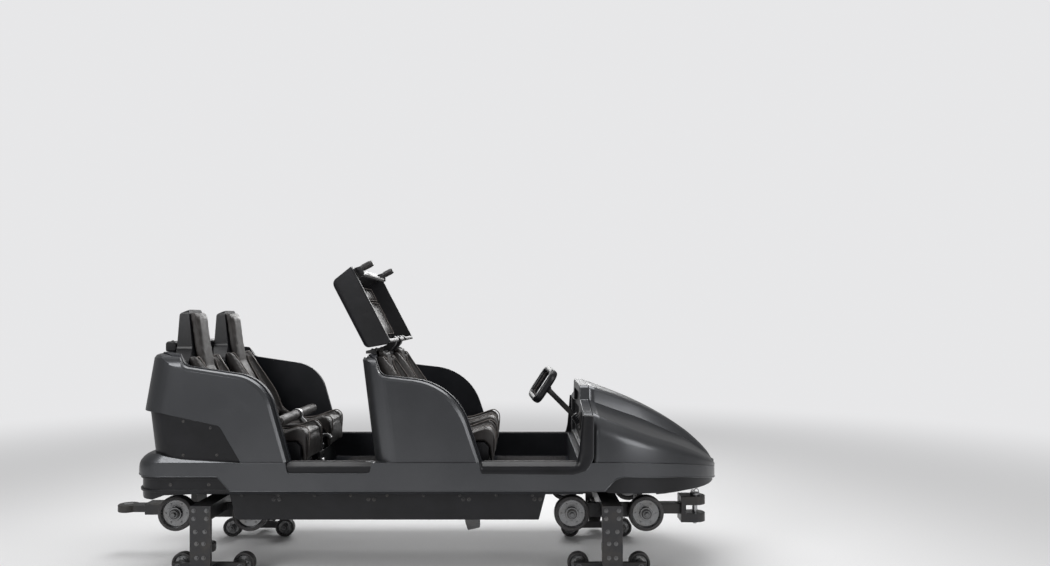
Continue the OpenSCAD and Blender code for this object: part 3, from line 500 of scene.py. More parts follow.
class Kit:
    """Collects many small forms into one mesh."""

    def __init__(self):
        self.points, self.faces = [], []

    def add(self, form):
        points, faces = form
        base = len(self.points)
        self.points += [Vector(p) for p in points]
        self.faces += [tuple(base + i for i in f) for f in faces]

    def turn(self, profile, centre, axis, segments=40):
        self.add(turned(profile, centre, axis, segments))

    def bolt(self, at, axis, r, h):
        """A hexagon head of half width r and height h on a washer."""
        washer = 0.0018
        self.turn([(1.65 * r, 0.0), (1.65 * r, washer), (1.0 * r, 0.002)], at, axis, 18)
        at = Vector(at) + Vector(axis).normalized() * washer
        self.turn([(1.12 * r, 0), (1.12 * r, h * 0.8), (0.95 * r, h), (0.2 * r, h)], at, axis, 6)

    def bolts(self, rows):
        """Bolts on both sides. A row: places on the left side, the way heads face there, and r and h."""
        for places, (ahead, out, up), r, h in rows:
            for s in (-1, 1):
                for x, y, z in places:
                    self.bolt((x, s * y, z), (ahead, s * out, up), r, h)

    def box(self, low, high, r=0.003):
        """A block with bevelled edges."""
        x0, y0, z0 = low
        x1, y1, z1 = high
        rings = []
        for z, k in ((z0, r), (z0 + r, 0), (z1 - r, 0), (z1, r)):
            a, b, c, d = x0 + k, x1 - k, y0 + k, y1 - k
            rings.append([Vector((x, y, z)) for x, y in ((a + r, c), (b - r, c), (b, c + r), (b, d - r),
                                                         (b - r, d), (a + r, d), (a, d - r), (a, c + r))])
        self.add(skin(rings, close_ring=True, cap=(True, True)))

    def tube(self, path, r, count=12, up=OUT, closed=False):
        self.add(sweep(path, ellipse(r, r, count), up, closed))

    def make(self, name, material, body="car", **more):
        return piece(name, self.points, self.faces, material, body, **more)


# Nose
NOSE_SECTIONS = [  # x, ledge, shoulder, crease's half width, crease, top's half width, top
    (1200, 0, 300, 330, 355, 292, 449), (1375, 0, 226, 300, 289, 262, 385),
    (1560, -12, 152, 262, 222, 226, 311), (1740, -31, 90, 215, 139, 180, 220),
    (1880, -55, 29, 170, 72, 138, 130), (1990, -83, -31, 125, -5, 98, 36),
    (2060, -109, -76, 80, -60, 60, -39), (2096, -123, -112, 34, -104, 24, -92)]  # mm, heights from the ledge
NOSE_END_X = NOSE_SECTIONS[-1][0] / 1000
NOSE_SEAM = 0.0025
NOSE_STATIONS = 46
TIP_LENGTH = 0.0125
SKIN_WALL = 0.004


def nose_half(x):
    """Half width of the body's plan at x."""
    if x <= NOSE_START_X:
        return HALF_W
    along = min(1.0, (x - NOSE_START_X) / (NOSE_TIP_X - NOSE_START_X))
    return HALF_W * max(0.0, 1 - along ** NOSE_POWER) ** (1 / NOSE_POWER)


def nose_row(x):
    """The section at x, between the table's rows on a smooth curve."""
    xs = [row[0] / 1000 for row in NOSE_SECTIONS]
    i = max(0, min(len(xs) - 2, sum(1 for v in xs if v <= x) - 1))
    h = xs[i + 1] - xs[i]
    t = (x - xs[i]) / h
    out = []
    for column in list(zip(*NOSE_SECTIONS))[1:]:
        v = [number / 1000 for number in column]

        def slope(k):
            a, b = max(k - 1, 0), min(k + 1, len(v) - 1)
            return (v[b] - v[a]) / (xs[b] - xs[a])
        out.append((2 * t ** 3 - 3 * t * t + 1) * v[i] + (t ** 3 - 2 * t * t + t) * h * slope(i)
                   + (3 * t * t - 2 * t ** 3) * v[i + 1] + (t ** 3 - t * t) * h * slope(i + 1))
    return out


def nose_rings(outline, closing):
    """Rings of a half outline and its mirror image, closed at the tip at a height from the ledge."""
    first = SEAM_X + NOSE_SEAM
    rings = []
    for k in range(NOSE_STATIONS + 1):
        x = first + (NOSE_END_X - first) * sin(pi / 2 * k / NOSE_STATIONS) ** 0.9
        half = outline(x)
        rings.append([Vector((x, -p[0], p[1] + LEDGE_Z)) for p in half]
                     + [Vector((x, p[0], p[1] + LEDGE_Z)) for p in reversed(half)])
    middle = LEDGE_Z + closing
    last = rings[-1]
    for k in (1, 2, 3):
        turn = pi / 2 * k / 3
        rings.append([Vector((NOSE_END_X + TIP_LENGTH * sin(turn), p.y * cos(turn) * 0.98,
                              middle + (p.z - middle) * max(0.05, cos(turn)))) for p in last])
    return rings


def shell_outline(x):
    """Half outline of the nose shell, from the ledge over the shoulder to the crease."""
    ledge, shoulder, crease_y, crease, _, _ = nose_row(x)
    share = nose_half(x) / HALF_W
    w = nose_half(x) - COWL_INSET
    shoulder_y = max(crease_y + 0.004, w - 0.075 * share)
    lip = min(0.02, crease_y * 0.4)
    bulge = (w - 0.010 * share, ledge + 0.72 * (shoulder - ledge))
    return fillet([(w - 0.004, ledge - 0.004), (w, ledge), bulge, (shoulder_y, shoulder), (crease_y, crease),
                   (crease_y - lip, crease - 0.003)], [0, 0.003, 0.16, 0.07, 0.003, 0], 6)


def spine_outline(x):
    """Half outline of the raised spine, from the crease to the middle of its top."""
    _, _, crease_y, crease, top_y, top = nose_row(x)
    inset = min(0.0022, crease_y * 0.1)
    return fillet([(crease_y - inset - 0.006, crease - 0.004), (crease_y - inset, crease - 0.001),
                   (top_y + 0.008, top - 0.016), (top_y - 0.014, top), (0.0, top + 0.001)],
                  [0, 0.002, 0.010, 0.018, 0], 5)


def make_nose():
    for name, outline, closing, node in (("nose_skin", shell_outline, -0.117, "nose_shell"),
                                         ("nose_ridge", spine_outline, -0.098, "nose_spine")):
        points, faces = skin(nose_rings(outline, closing))
        made = piece(name, points, faces, "paint", replaces=(node,), smooth=50)
        give(made.modifiers.new("wall", "SOLIDIFY"), thickness=SKIN_WALL, offset=-1)


# Padded pieces
CLOTH_FRAMES = 20
VOXEL = 0.010
PAD_INSET = 0.004  # how far a pad is drawn in before it is blown up
SOFT = []  # pieces still to be blown up: object, its points at rest, how far a point may move


def block(outline, y0, y1):
    """A closed prism of an outline in X and Z, in metres."""
    n = len(outline)
    points = [Vector((x, y, z)) for y in (y0, y1) for x, z in outline]
    faces = [tuple(range(n - 1, -1, -1)), tuple(range(n, 2 * n))]
    faces += [(i, (i + 1) % n, n + (i + 1) % n, n + i) for i in range(n)]
    return points, faces


def pad(name, forms, node, cap, body="car"):
    """A padded form: closed blocks joined by a voxel remesh, to be blown up a little as stuffed leather."""
    kit = Kit()
    for form in forms:
        kit.add(form)
    made = new_mesh(name, kit.points, kit.faces)
    face_outwards(made.data)
    give(made.modifiers.new("remesh", "REMESH"), mode="VOXEL", voxel_size=VOXEL)
    relax(made, 4)
    settle(made)
    mesh = made.data
    for v in mesh.vertices:
        v.co -= v.normal * PAD_INSET
    mesh.materials.append(M["leather"])
    mesh.shade_smooth()
    SOFT.append((made, [v.co.copy() for v in mesh.vertices], cap))
    stuff(made)
    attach(made, body)
    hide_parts(node)


def relax(obj, times):
    give(obj.modifiers.new("relax", "SMOOTH"), factor=0.5, iterations=times)


def stuff(obj):
    """Cloth with pressure from inside and no gravity."""
    cloth = obj.modifiers.new("cloth", "CLOTH")
    give(cloth.settings, quality=4, mass=0.25, tension_stiffness=18, compression_stiffness=18,
         bending_stiffness=0.6, use_pressure=True, uniform_pressure_force=4.0)
    cloth.settings.effector_weights.gravity = 0
    give(cloth.point_cache, frame_start=1, frame_end=CLOTH_FRAMES)


def settle(obj):
    """Applies all modifiers of an object."""
    seen = obj.evaluated_get(bpy.context.evaluated_depsgraph_get())
    mesh = bpy.data.meshes.new_from_object(seen)
    old = obj.data
    obj.modifiers.clear()
    obj.data = mesh
    mesh.name = obj.name
    bpy.data.meshes.remove(old)


def inflate_all():
    """Runs the cloth of all padded pieces together, caps how far a point moved, and smooths the result."""
    scene = bpy.context.scene
    scene.frame_start, scene.frame_end = 1, CLOTH_FRAMES
    for step in range(1, CLOTH_FRAMES + 1):
        scene.frame_set(step)
    for made, rest, cap in SOFT:
        settle(made)
        for v, start in zip(made.data.vertices, rest):
            move = v.co - start
            if move.length > cap:
                v.co = start + move.normalized() * cap
    scene.frame_set(1)
    for made, _, _ in SOFT:
        relax(made, 3)
        give(made.modifiers.new("finer", "SUBSURF"), levels=1, render_levels=1)
        settle(made)
        made.data.shade_smooth()


# Seats: outlines in X and Z from the row's hip point and the ledge, in millimetres
CUSHION = [(-80, 130), (20, 82), (358, 108), (394, 78), (394, -30), (418, -32), (425, 148), (402, 170),
           (378, 172), (300, 146), (214, 121), (80, 121), (0, 136), (-50, 158)]
CUSHION_RIM = [(20, 100), (358, 112), (392, 84), (392, 0), (420, 0), (432, 152), (405, 190), (370, 196),
               (290, 168), (200, 142), (90, 138)]
COLUMN = [(-112, 150), (-46, 176), (-150, 352), (-278, 578), (-304, 730), (-331, 936), (-344, 950),
          (-370, 950), (-377, 940), (-349, 700), (-323, 575)]
WING_FLAT = [(-112, 150), (-46, 182), (-150, 354), (-275, 576), (-290, 640), (-338, 640), (-323, 575)]
WING_RIM = [(-340, 650), (-328, 660), (-296, 660), (-243, 580), (-90, 352), (-36, 224), (56, 148), (8, 92),
            (-104, 148), (-323, 575)]
COLUMN_HALF, SEAT_HALF, RIM_IN = 0.101, 0.213, 0.158
PAD_GAP = 0.003
COLUMN_TOP = {"rear": None, "front": LEDGE_Z + 0.698}  # the hood's box cuts the front columns off
# Welting: its line in X and Z in millimetres, distance from the seat's middle, shift in X and Z, radius
PIPING = [
    ([(-46, 178), (-150, 354), (-262, 552), (-283, 610)], COLUMN_HALF + 0.001, (0.004, 0.002), 0.0042),
    ([(-318, 636), (-286, 645), (-243, 583), (-88, 355), (-34, 228), (40, 164)], RIM_IN - 0.001, (0, 0),
     0.0038),
    ([(100, 138), (200, 142), (290, 168), (370, 196), (405, 190), (430, 150), (424, 40)], RIM_IN - 0.001,
     (0, 0.002), 0.0038)]


def make_seats():
    for row, hip_x in HIP_X.items():
        for side, y in (("right", -SEAT_Y), ("left", SEAT_Y)):
            make_seat(row, f"seat_{row}_{side}", hip_x, y)


def make_seat(row, label, hip_x, y):
    """Cushion, middle column with headrest, two wings and the piping of one seat."""
    node = f"seat_pads_{row}"

    def form(outline, near, far, top=None):
        """A block of an outline, from near to far across the seat."""
        pts = [(x / 1000 + hip_x, z / 1000 + LEDGE_Z) for x, z in outline]
        if top is not None:
            pts = [(x, min(z, top)) for x, z in pts]
        return block(pts, *sorted((y + near, y + far)))

    rims = [form(CUSHION_RIM, s * RIM_IN, s * SEAT_HALF) for s in (-1, 1)]
    pad(label + "_cushion", [form(CUSHION, -SEAT_HALF, SEAT_HALF)] + rims, node, 0.008)
    pad(label + "_column", [form(COLUMN, -COLUMN_HALF, COLUMN_HALF, COLUMN_TOP[row])], node, 0.009)
    for s, hand in ((1, "left"), (-1, "right")):
        pad(f"{label}_wing_{hand}", [form(WING_FLAT, s * (COLUMN_HALF + PAD_GAP), s * SEAT_HALF),
                                     form(WING_RIM, s * RIM_IN, s * SEAT_HALF)], node, 0.008)
    kit = Kit()
    for s in (-1, 1):
        for line, out, (dx, dz), r in PIPING:
            path = [Vector((hip_x + x / 1000 + dx, y + s * out, LEDGE_Z + z / 1000 + dz)) for x, z in line]
            kit.tube(smooth_path(path, 6), r, 10)
    kit.make(label + "_piping", "stitch", smooth=30)


# Restraint hood, in its own frame: millimetres forward, to the left, and up along the hood
HOOD_HALF_W, HOOD_TOP, HOOD_WALL = 520, 551, 25
HOOD_PAD_BACK = -143
HOOD_PADS = [  # name, extent across and along the hood, front, fill, how far in metres a point may move
    ("hood_pad_upper", (-436, 436, 372, 478), -100, 0.7, 0.008),
    ("hood_pad_lower_right", (-436, -6, 96, 360), -98, 0.65, 0.009),
    ("hood_pad_lower_left", (6, 436, 96, 360), -98, 0.65, 0.009)]
WELT_INSET = 4  # of the hood's piping from the edges of its pads
HOOD_SLOT = (83, 157)  # the hinge lugs' slots in the lower wall
GRIP_Y, GRIP_Z = 400, 526


def in_hood(x, y, z):
    """A point of the hood's own frame in the car's frame."""
    c, s = cos(HOOD_LEAN), sin(HOOD_LEAN)
    return Vector((HOOD_FOOT.x + (x * c - z * s) / 1000, y / 1000, HOOD_FOOT.z + (x * s + z * c) / 1000))


HOOD_AHEAD = in_hood(1, 0, 0) - in_hood(0, 0, 0)


def hood_block(x0, x1, y0, y1, z0, z1):
    corners = [in_hood(x, y, z) for z in (z0, z1) for x, y in ((x0, y0), (x1, y0), (x1, y1), (x0, y1))]
    return corners, [(3, 2, 1, 0), (4, 5, 6, 7), (0, 1, 5, 4), (1, 2, 6, 5), (2, 3, 7, 6), (3, 0, 4, 7)]


def make_hood_pads():
    """The hood's lining: a short upper pad and two long lower ones with a channel between the riders."""
    for name, extent, front, fill, cap in HOOD_PADS:
        pad(name, [hood_block(HOOD_PAD_BACK, front, *extent)], "restraint_pad", cap, "restraint")


def make_hood_edge():
    """A round edge trim on the hood's open side, broken where the hinge lugs pass through it."""
    w, low, top = HOOD_HALF_W - HOOD_WALL / 2, HOOD_WALL / 2, HOOD_TOP - HOOD_WALL / 2
    inner, outer = HOOD_SLOT
    corners = [(outer, low), (w, low), (w, top), (-w, top), (-w, low), (-outer, low)]
    rim = fillet(corners, [0, 14, 14, 14, 14, 0], 4)
    trim = Kit()
    for line in (rim, [Vector((y, low)) for y in (-inner, 0, inner)]):
        trim.add(sweep([in_hood(0, p.x, p.y) for p in line], ellipse(0.0137, 0.0052, 12, 2.4), HOOD_AHEAD))
    trim.make("hood_edge_trim", "trim", "restraint", smooth=50)


def make_hood_piping():
    seams = Kit()
    for _, (left, right, low, top), *_ in HOOD_PADS:
        y0, y1, z0, z1 = left + WELT_INSET, right - WELT_INSET, low + WELT_INSET, top - WELT_INSET
        line = fillet([(y0, z0), (y1, z0), (y1, z1), (y0, z1)], 14, 4, closed=True)
        seams.tube([in_hood(-97.5, p.x, p.y) for p in line], 0.0032, 8, HOOD_AHEAD, closed=True)
    seams.make("hood_pad_piping", "stitch", "restraint", smooth=60)


def make_latches():
    """Latch plates with a loop and two screws on the hood's lower wall."""
    latch = Kit()
    up = in_hood(0, 0, 1) - in_hood(0, 0, 0)
    for y in (-330, 330):
        latch.add(hood_block(-70, -18, y - 26, y + 26, HOOD_WALL, HOOD_WALL + 4))
        for x in (-60, -28):
            latch.bolt(in_hood(x, y, HOOD_WALL + 4), up, 0.006, 0.005)
        loop = ((-52, -13, 28), (-52, -13, 44), (-50, 0, 52), (-52, 13, 44), (-52, 13, 28))
        latch.tube([in_hood(x, y + dy, z) for x, dy, z in loop], 0.0038, 10, HOOD_AHEAD)
    latch.make("hood_latches", "steel", "restraint")


def make_grip_sleeves():
    """A ribbed rubber sleeve on each grip."""
    profile = [(0.0204, 0.0)]
    for k in range(7):
        h = 0.008 * k
        profile += [(0.0228, h + 0.0015), (0.0228, h + 0.0065), (0.0216, h + 0.0075)]
    profile.append((0.0204, 0.060))
    sleeves = Kit()
    for y in (-GRIP_Y, GRIP_Y):
        sleeves.turn(profile, in_hood(50, y, GRIP_Z), HOOD_AHEAD, 32)
    sleeves.make("hood_grip_sleeves", "tread", "restraint")


# Lap bar
ROLL_X, ROLL_Z, ROLL_R = -0.846, LEDGE_Z + 0.218, 0.0335
LAP_KNEE = Vector((-0.682, 0, LEDGE_Z + 0.050))
LAP_PIVOT = Vector((-0.680, 0, LEDGE_Z - 0.117))


def make_lap_roll():
    """Two foam sleeves with sewn ends, each a little fuller in the middle, with a seam along the back."""
    profile = [(0.016, 0.0205), (0.026, 0.0207), (0.031, 0.023), (ROLL_R, 0.029), (0.0325, 0.034),
               (ROLL_R, 0.038)]
    for k in range(1, 16):
        t = k / 16
        profile.append((ROLL_R + 0.0016 * sin(pi * t), 0.038 + (0.386 - 0.038) * t))
    profile += [(ROLL_R, 0.386), (0.0325, 0.390), (ROLL_R, 0.395), (0.0325, 0.412), (0.028, 0.4215),
                (0.018, 0.4245), (0.004, 0.4248)]
    for side, s in (("left", 1), ("right", -1)):
        points, faces = turned(profile, (ROLL_X, 0, ROLL_Z), (0, s, 0), 48)
        rnd = random.Random(11)
        waves = [(rnd.uniform(30, 70), rnd.uniform(2, 5), rnd.uniform(0, 6.3)) for _ in range(4)]
        for p in points:
            out = Vector((p.x - ROLL_X, 0, p.z - ROLL_Z))
            angle = atan2(out.z, out.x)
            swell = sum(0.00035 * sin(a * p.y + b * angle + c) for a, b, c in waves)
            if out.length > 0.02:
                p += out.normalized() * swell
        made = piece(f"lap_roll_{side}", points, faces, "leather", "lap_bar",
                     replaces=("lap_bar_pads",), smooth=50)
        seam = Kit()
        line = [(ROLL_X - 0.0345, s * y, ROLL_Z + 0.004) for y in (0.04, 0.12, 0.20, 0.28, 0.36, 0.405)]
        seam.tube(line, 0.0011, 6, UP)
        seam.make(f"lap_roll_seam_{side}", "stitch", "lap_bar", smooth=30)


def make_lap_fittings():
    """Collars, a release lever with its clamp, and screws of the lap bar."""
    up = (LAP_KNEE - LAP_PIVOT).normalized()
    kit = Kit()
    for at, h in ((0.058, 0.024), (0.100, 0.030)):
        profile = [(0.0183, 0), (0.0255, 0), (0.027, 0.002), (0.027, h - 0.002), (0.0255, h), (0.0183, h)]
        kit.turn(profile, LAP_PIVOT + up * at, up, 28)
        for s in (-1, 1):
            kit.bolt(LAP_PIVOT + up * (at + h / 2) + Vector((0, s * 0.0265, 0)), (0, s, 0), 0.0045, 0.004)
    line = ((0.010, 0.010), (0.034, 0.022), (0.060, 0.018), (0.076, 0.004))
    lever = [LAP_KNEE + Vector((x, 0, z)) for x, z in line]
    kit.add(sweep(smooth_path(lever, 5), ellipse(0.013, 0.0055, 14, 3)))
    kit.turn([(0.006, -0.018), (0.0095, -0.016), (0.0095, 0.016), (0.006, 0.018)],
             LAP_KNEE + Vector((0.075, 0, 0.004)), OUT, 20)
    kit.make("lap_bar_fittings", "steel", "lap_bar")
    screws = Kit()
    screws.bolts([([(x, 0.045, FLOOR_TOP + 0.010) for x in (-0.735, -0.625)], UP, 0.007, 0.007),
                  ([(LAP_PIVOT.x, 0.046, LAP_PIVOT.z)], OUT, 0.010, 0.008)])
    screws.make("lap_bar_screws", "steel", smooth=35)


# Grab handle
HANDLE_AT = Vector((0.900, 0, LEDGE_Z + 0.433))
HANDLE_TURN = Matrix.Rotation(radians(90 + 33), 3, "Y") @ Matrix.Rotation(radians(-8), 3, "X")
HANDLE_HALF = (110, 144)  # half height and half width of the loop's middle line, millimetres
HANDLE_THROUGH = HANDLE_TURN @ Vector((0, 0, 1))
COLUMN_DOWN = Vector((1, 0, -1)).normalized()
DASH_FACE_X = 1.164


def on_handle(x, y, z):
    """From the handle's own frame (x along its height, y across, z through) in millimetres."""
    return HANDLE_AT + HANDLE_TURN @ Vector((x / 1000, y / 1000, z / 1000))


def handle_loop(inset, radius):
    x, y = (half - inset for half in HANDLE_HALF)
    return fillet([(-x, -y), (x, -y), (x, y), (-x, y)], radius, 7, closed=True)


def make_handle():
    """A loop with a soft grip and stitching, a spoke, and a column with a gaiter at the dash."""
    path = [on_handle(p.x, p.y, 0) for p in handle_loop(0, 58)]
    points, faces = sweep(path, ellipse(0.0208, 0.0272, 24, 2.7), HANDLE_THROUGH, closed=True)
    piece("handle_loop", points, faces, "trim", replaces=("grab_handle",), smooth=60)
    seam = Kit()
    for z in (-3, 3):
        path = [on_handle(p.x, p.y, z) for p in handle_loop(21.2, 40)]
        seam.tube(path, 0.0010, 6, HANDLE_THROUGH, closed=True)
    seam.make("handle_stitching", "stitch", slot="black_trim", smooth=30)
    arm = Kit()
    widths = [(20, 1.4), (50, 1.15), (80, 0.95), (104, 0.86)]
    spoke = [(-x, width) for x, width in reversed(widths)] + widths
    arm.add(sweep([on_handle(x, 0, 16) for x, _ in spoke], ellipse(0.020, 0.0085, 20, 3.2), HANDLE_THROUGH,
                  scale=[width for _, width in spoke]))
    hub = HANDLE_AT + Vector((0.004, 0, -0.004))
    arm.turn([(0.030, 0.0), (0.034, 0.004), (0.034, 0.020), (0.029, 0.030), (0.027, 0.052), (0.0215, 0.060)],
             hub, COLUMN_DOWN)
    arm.turn([(0.0195, 0.055), (0.0185, 0.12), (0.0195, 0.30)], hub, COLUMN_DOWN, 28)
    arm.make("handle_arm", "black_metal", slot="black_trim")
    reach = (DASH_FACE_X - HANDLE_AT.x) * sqrt(2)
    gaiter = []
    for k in range(5):
        h = reach - 0.062 + 0.013 * k
        r = 0.0215 + 0.0035 * k
        gaiter += [(r, h), (r + 0.0045, h + 0.0035), (r + 0.0045, h + 0.007), (r + 0.001, h + 0.0105)]
    foot = Kit()
    foot.turn(gaiter, HANDLE_AT, COLUMN_DOWN, 32)
    foot.make("handle_gaiter", "trim")


# Wheels: radius, width and bore
WHEELS = {"road": (0.115, 0.080, 0.020), "upstop": (0.070, 0.060, 0.014), "guide": (0.060, 0.060, 0.014)}
HUB_BOLTS = 6


def make_wheel(kind, label, centre, axis):
    """A tread with a groove round its middle, and a dished hub with bolts on both faces."""
    r, w, bore = WHEELS[kind]
    h = w / 2
    rim = 0.80 * r
    tread = [(rim, 0.88 * h), (0.93 * r, 0.90 * h), (0.975 * r, 0.84 * h), (0.995 * r, 0.66 * h),
             (r, 0.5 * h), (r, 0.03 * h), (r - 0.0012, 0.02 * h)]
    hub_r = bore + 0.2 * r
    hub = [(bore + 0.0006, h), (hub_r - 0.002, h), (hub_r, h - 0.002), (hub_r + 0.002, 0.46 * h),
           (0.5 * r, 0.40 * h), (rim - 0.008, 0.42 * h), (rim - 0.002, 0.74 * h), (rim + 0.001, 0.90 * h)]
    name = f"{kind}_wheel_{label}"
    points, faces = turned(mirrored(tread), centre, axis, 72)
    piece(name + "_tread", points, faces[:-2], "tread", name, slot="wheel_tread", replaces=(name,))
    kit = Kit()
    points, faces = turned(mirrored(hub), centre, axis, 48)
    kit.add((points, faces[:-2]))
    turn = facing(axis)
    ring = (hub_r + rim) / 2
    for side in (-1, 1):
        for c, s in circle(HUB_BOLTS):
            at = Vector(centre) + turn @ Vector((ring * c, ring * s, side * 0.40 * h))
            kit.bolt(at, Vector(axis) * side, 0.0048 if kind == "road" else 0.0036, 0.005)
    kit.make(name + "_hub", "hub", name, smooth=35)


def mirrored(profile):
    """A whole profile from its upper half, given from the rim or bore inwards to the middle."""
    return [(r, -h) for r, h in profile] + profile[::-1]


def make_wheels():
    for bogie, x in BOGIE_X.items():
        for side, s in (("left", 1), ("right", -1)):
            for end, e in (("fore", 1), ("aft", -1)):
                label = f"{bogie}_{end}_{side}"
                make_wheel("road", label, (x + e * ROAD_X, s * GAUGE_HALF, ROAD_Z), OUT)
                make_wheel("upstop", label, (x + e * UPSTOP_X, s * GAUGE_HALF, UPSTOP_Z), OUT)
            make_wheel("guide", f"{bogie}_{side}", (x, s * GUIDE_Y, GUIDE_Z), UP)


# Lips and edge lines: heights from the ledge, in millimetres as in the CAD source
SKIRT_LOW = [(-1141, -87), (-1060, -177), (1269, -177), (1338, -100), (1400, -87), (1775, -117), (1950, -152),
             (2120, -208)]  # lower edge of the skirt: x and height
REAR_OPENING = (-723, -178)
FRONT_OPENING = (486, 1200)
REAR_SILL_OUT = fillet([(-719, 1), (-709, -67), (-192, -67), (-178, 1)], [0, 26, 26, 0], 8)
# Edges of the black band that runs along the front sill and curves up to the surround
FRONT_BAND_OUT = fillet([(486, 0), (497, -70), (1075, -74), (1160, -48), (1198, 30), (1199, 292)],
                        [0, 24, 90, 60, 70, 0], 8)
FRONT_BAND_IN = fillet([(500, 0), (512, -24), (1030, -24), (1096, -12), (1113, 62), (1132, 292)],
                       [0, 10, 60, 46, 90, 0], 8)
BAND_SECTION = [  # share of the way from the inner to the outer edge, and y in metres
    (0.0, 0.645), (0.0, 0.676), (0.10, 0.690), (0.30, 0.6985), (0.60, 0.7022), (0.86, 0.7028), (0.97, 0.7018),
    (1.0, 0.6990), (1.0, 0.655)]


def skirt_height(x):
    """Height of the skirt's lower edge from the ledge, both in metres, at x in metres."""
    x *= 1000
    if x <= SKIRT_LOW[0][0]:
        return SKIRT_LOW[0][1] / 1000
    for (x0, z0), (x1, z1) in zip(SKIRT_LOW, SKIRT_LOW[1:]):
        if x <= x1:
            return (z0 + (z1 - z0) * (x - x0) / (x1 - x0)) / 1000
    return SKIRT_LOW[-1][1] / 1000


def body_side(inset):
    """Points of the body's plan on the left side, from the middle of the tail to the tip of the nose."""
    w = HALF_W - inset
    r = TAIL_CORNER_R - inset
    back = TAIL_X + inset
    out = [(back, 0.0), (back, 0.25 * w), (back, w - r)]
    for k in range(1, 12):
        t = pi / 2 * k / 12
        out.append((back + r - r * cos(t), w - r + r * sin(t)))
    out += [(x / 1000, w) for x in (-1500, -1300, -1145, -1141, -1137, -1100, -1064, -1060, -1056, -600, 0,
                                    600, 1265, 1269, 1273)]
    for k in range(0, 41):
        t = pi / 2 * k / 41
        x = NOSE_START_X + (NOSE_TIP_X - NOSE_START_X) * sin(t)
        out.append((x - inset * sin(t), max(0.0, nose_half(x) - inset * cos(t))))
    return out


def make_skirt_lip():
    """A rolled lip along the skirt's lower edge, all round the body."""
    inset = 0.0012
    half = body_side(inset) + [(NOSE_TIP_X - inset, 0.0)]
    left = [Vector((x, y, LEDGE_Z + skirt_height(x))) for x, y in half]
    right = [Vector((p.x, -p.y, p.z)) for p in reversed(left[1:-1])]
    lip = Kit()
    lip.tube(left + right, 0.0034, 8, UP, closed=True)
    lip.make("skirt_lip", "paint", smooth=60)


def make_sill_lines():
    """A thin line along the edge of each sill, and grip ribs on its top."""
    sills = ((REAR_OPENING, REAR_SILL_OUT), (FRONT_OPENING, FRONT_BAND_OUT))
    for number, ((x0, x1), outline) in enumerate(sills):
        edge = Kit()
        ribs = Kit()
        for side in (-1, 1):
            y = side * (HALF_W - 0.0006)
            edge.tube([(p.x / 1000, y, LEDGE_Z + p.y / 1000) for p in outline], 0.0030, 8)
            for k in range(4):
                near, far = sorted((side * (0.627 + 0.0075 * k), side * (0.6312 + 0.0075 * k)))
                ribs.box((x0 / 1000 + 0.03, near, LEDGE_Z), (x1 / 1000 - 0.05, far, LEDGE_Z + 0.0024), 0.0008)
        edge.make(f"sill_line_{number}", "paint", smooth=60)
        ribs.make(f"sill_tread_{number}", "tread")


def make_sill_bands():
    """The band round each front opening, a little proud of the skirt, with a rolled outer edge."""
    band = Kit()
    for side in (-1, 1):
        rings = [[Vector(((a.x + (b.x - a.x) * t) / 1000, side * y, LEDGE_Z + (a.y + (b.y - a.y) * t) / 1000))
                  for t, y in BAND_SECTION] for a, b in zip(FRONT_BAND_IN, FRONT_BAND_OUT)]
        band.add(skin(rings, close_ring=True, cap=(True, True)))
    band.make("sill_band_front", "trim", smooth=50)


# Inside the tub
MATS = {"rear": (-0.590, -0.075), "front": (0.560, 1.090)}
MAT_HALF_W = 0.600
MAT_PITCH = 0.022


def make_mats():
    """Ribbed mats in the two foot wells."""
    for name, (x0, x1) in MATS.items():
        mat = Kit()
        mat.box((x0, -MAT_HALF_W, FLOOR_TOP), (x1, MAT_HALF_W, FLOOR_TOP + 0.004), 0.0015)
        rib_half = MAT_HALF_W - 0.030
        for k in range(int((x1 - x0 - 0.05) / MAT_PITCH)):
            x = x0 + 0.030 + MAT_PITCH * k
            mat.box((x, -rib_half, FLOOR_TOP + 0.0035), (x + 0.010, rib_half, FLOOR_TOP + 0.0068), 0.0013)
        mat.make(f"floor_mat_{name}", "tread")


def make_dash_trim():
    """Upright ribs on the dash and the bolted flange of the handle's column."""
    ribs = Kit()
    for side in (-1, 1):
        for k in range(6):
            y = side * (0.130 + 0.062 * k)
            ribs.box((1.1605, y - 0.005, LEDGE_Z + 0.065), (1.1645, y + 0.005, LEDGE_Z + 0.262), 0.0015)
    ribs.make("dash_ribs", "trim")
    ring = Kit()
    foot = HANDLE_AT + Vector((1, 0, -1)) * (DASH_FACE_X - HANDLE_AT.x)
    ring.turn([(0.036, -0.004), (0.064, -0.004), (0.068, 0.0), (0.068, 0.006), (0.036, 0.006)], foot, BACK)
    for c, s in circle(6, 0.3):
        ring.bolt(foot + Vector((-0.006, 0.053 * c, 0.053 * s)), BACK, 0.0055, 0.005)
    ring.make("column_flange", "black_metal", slot="black_trim")


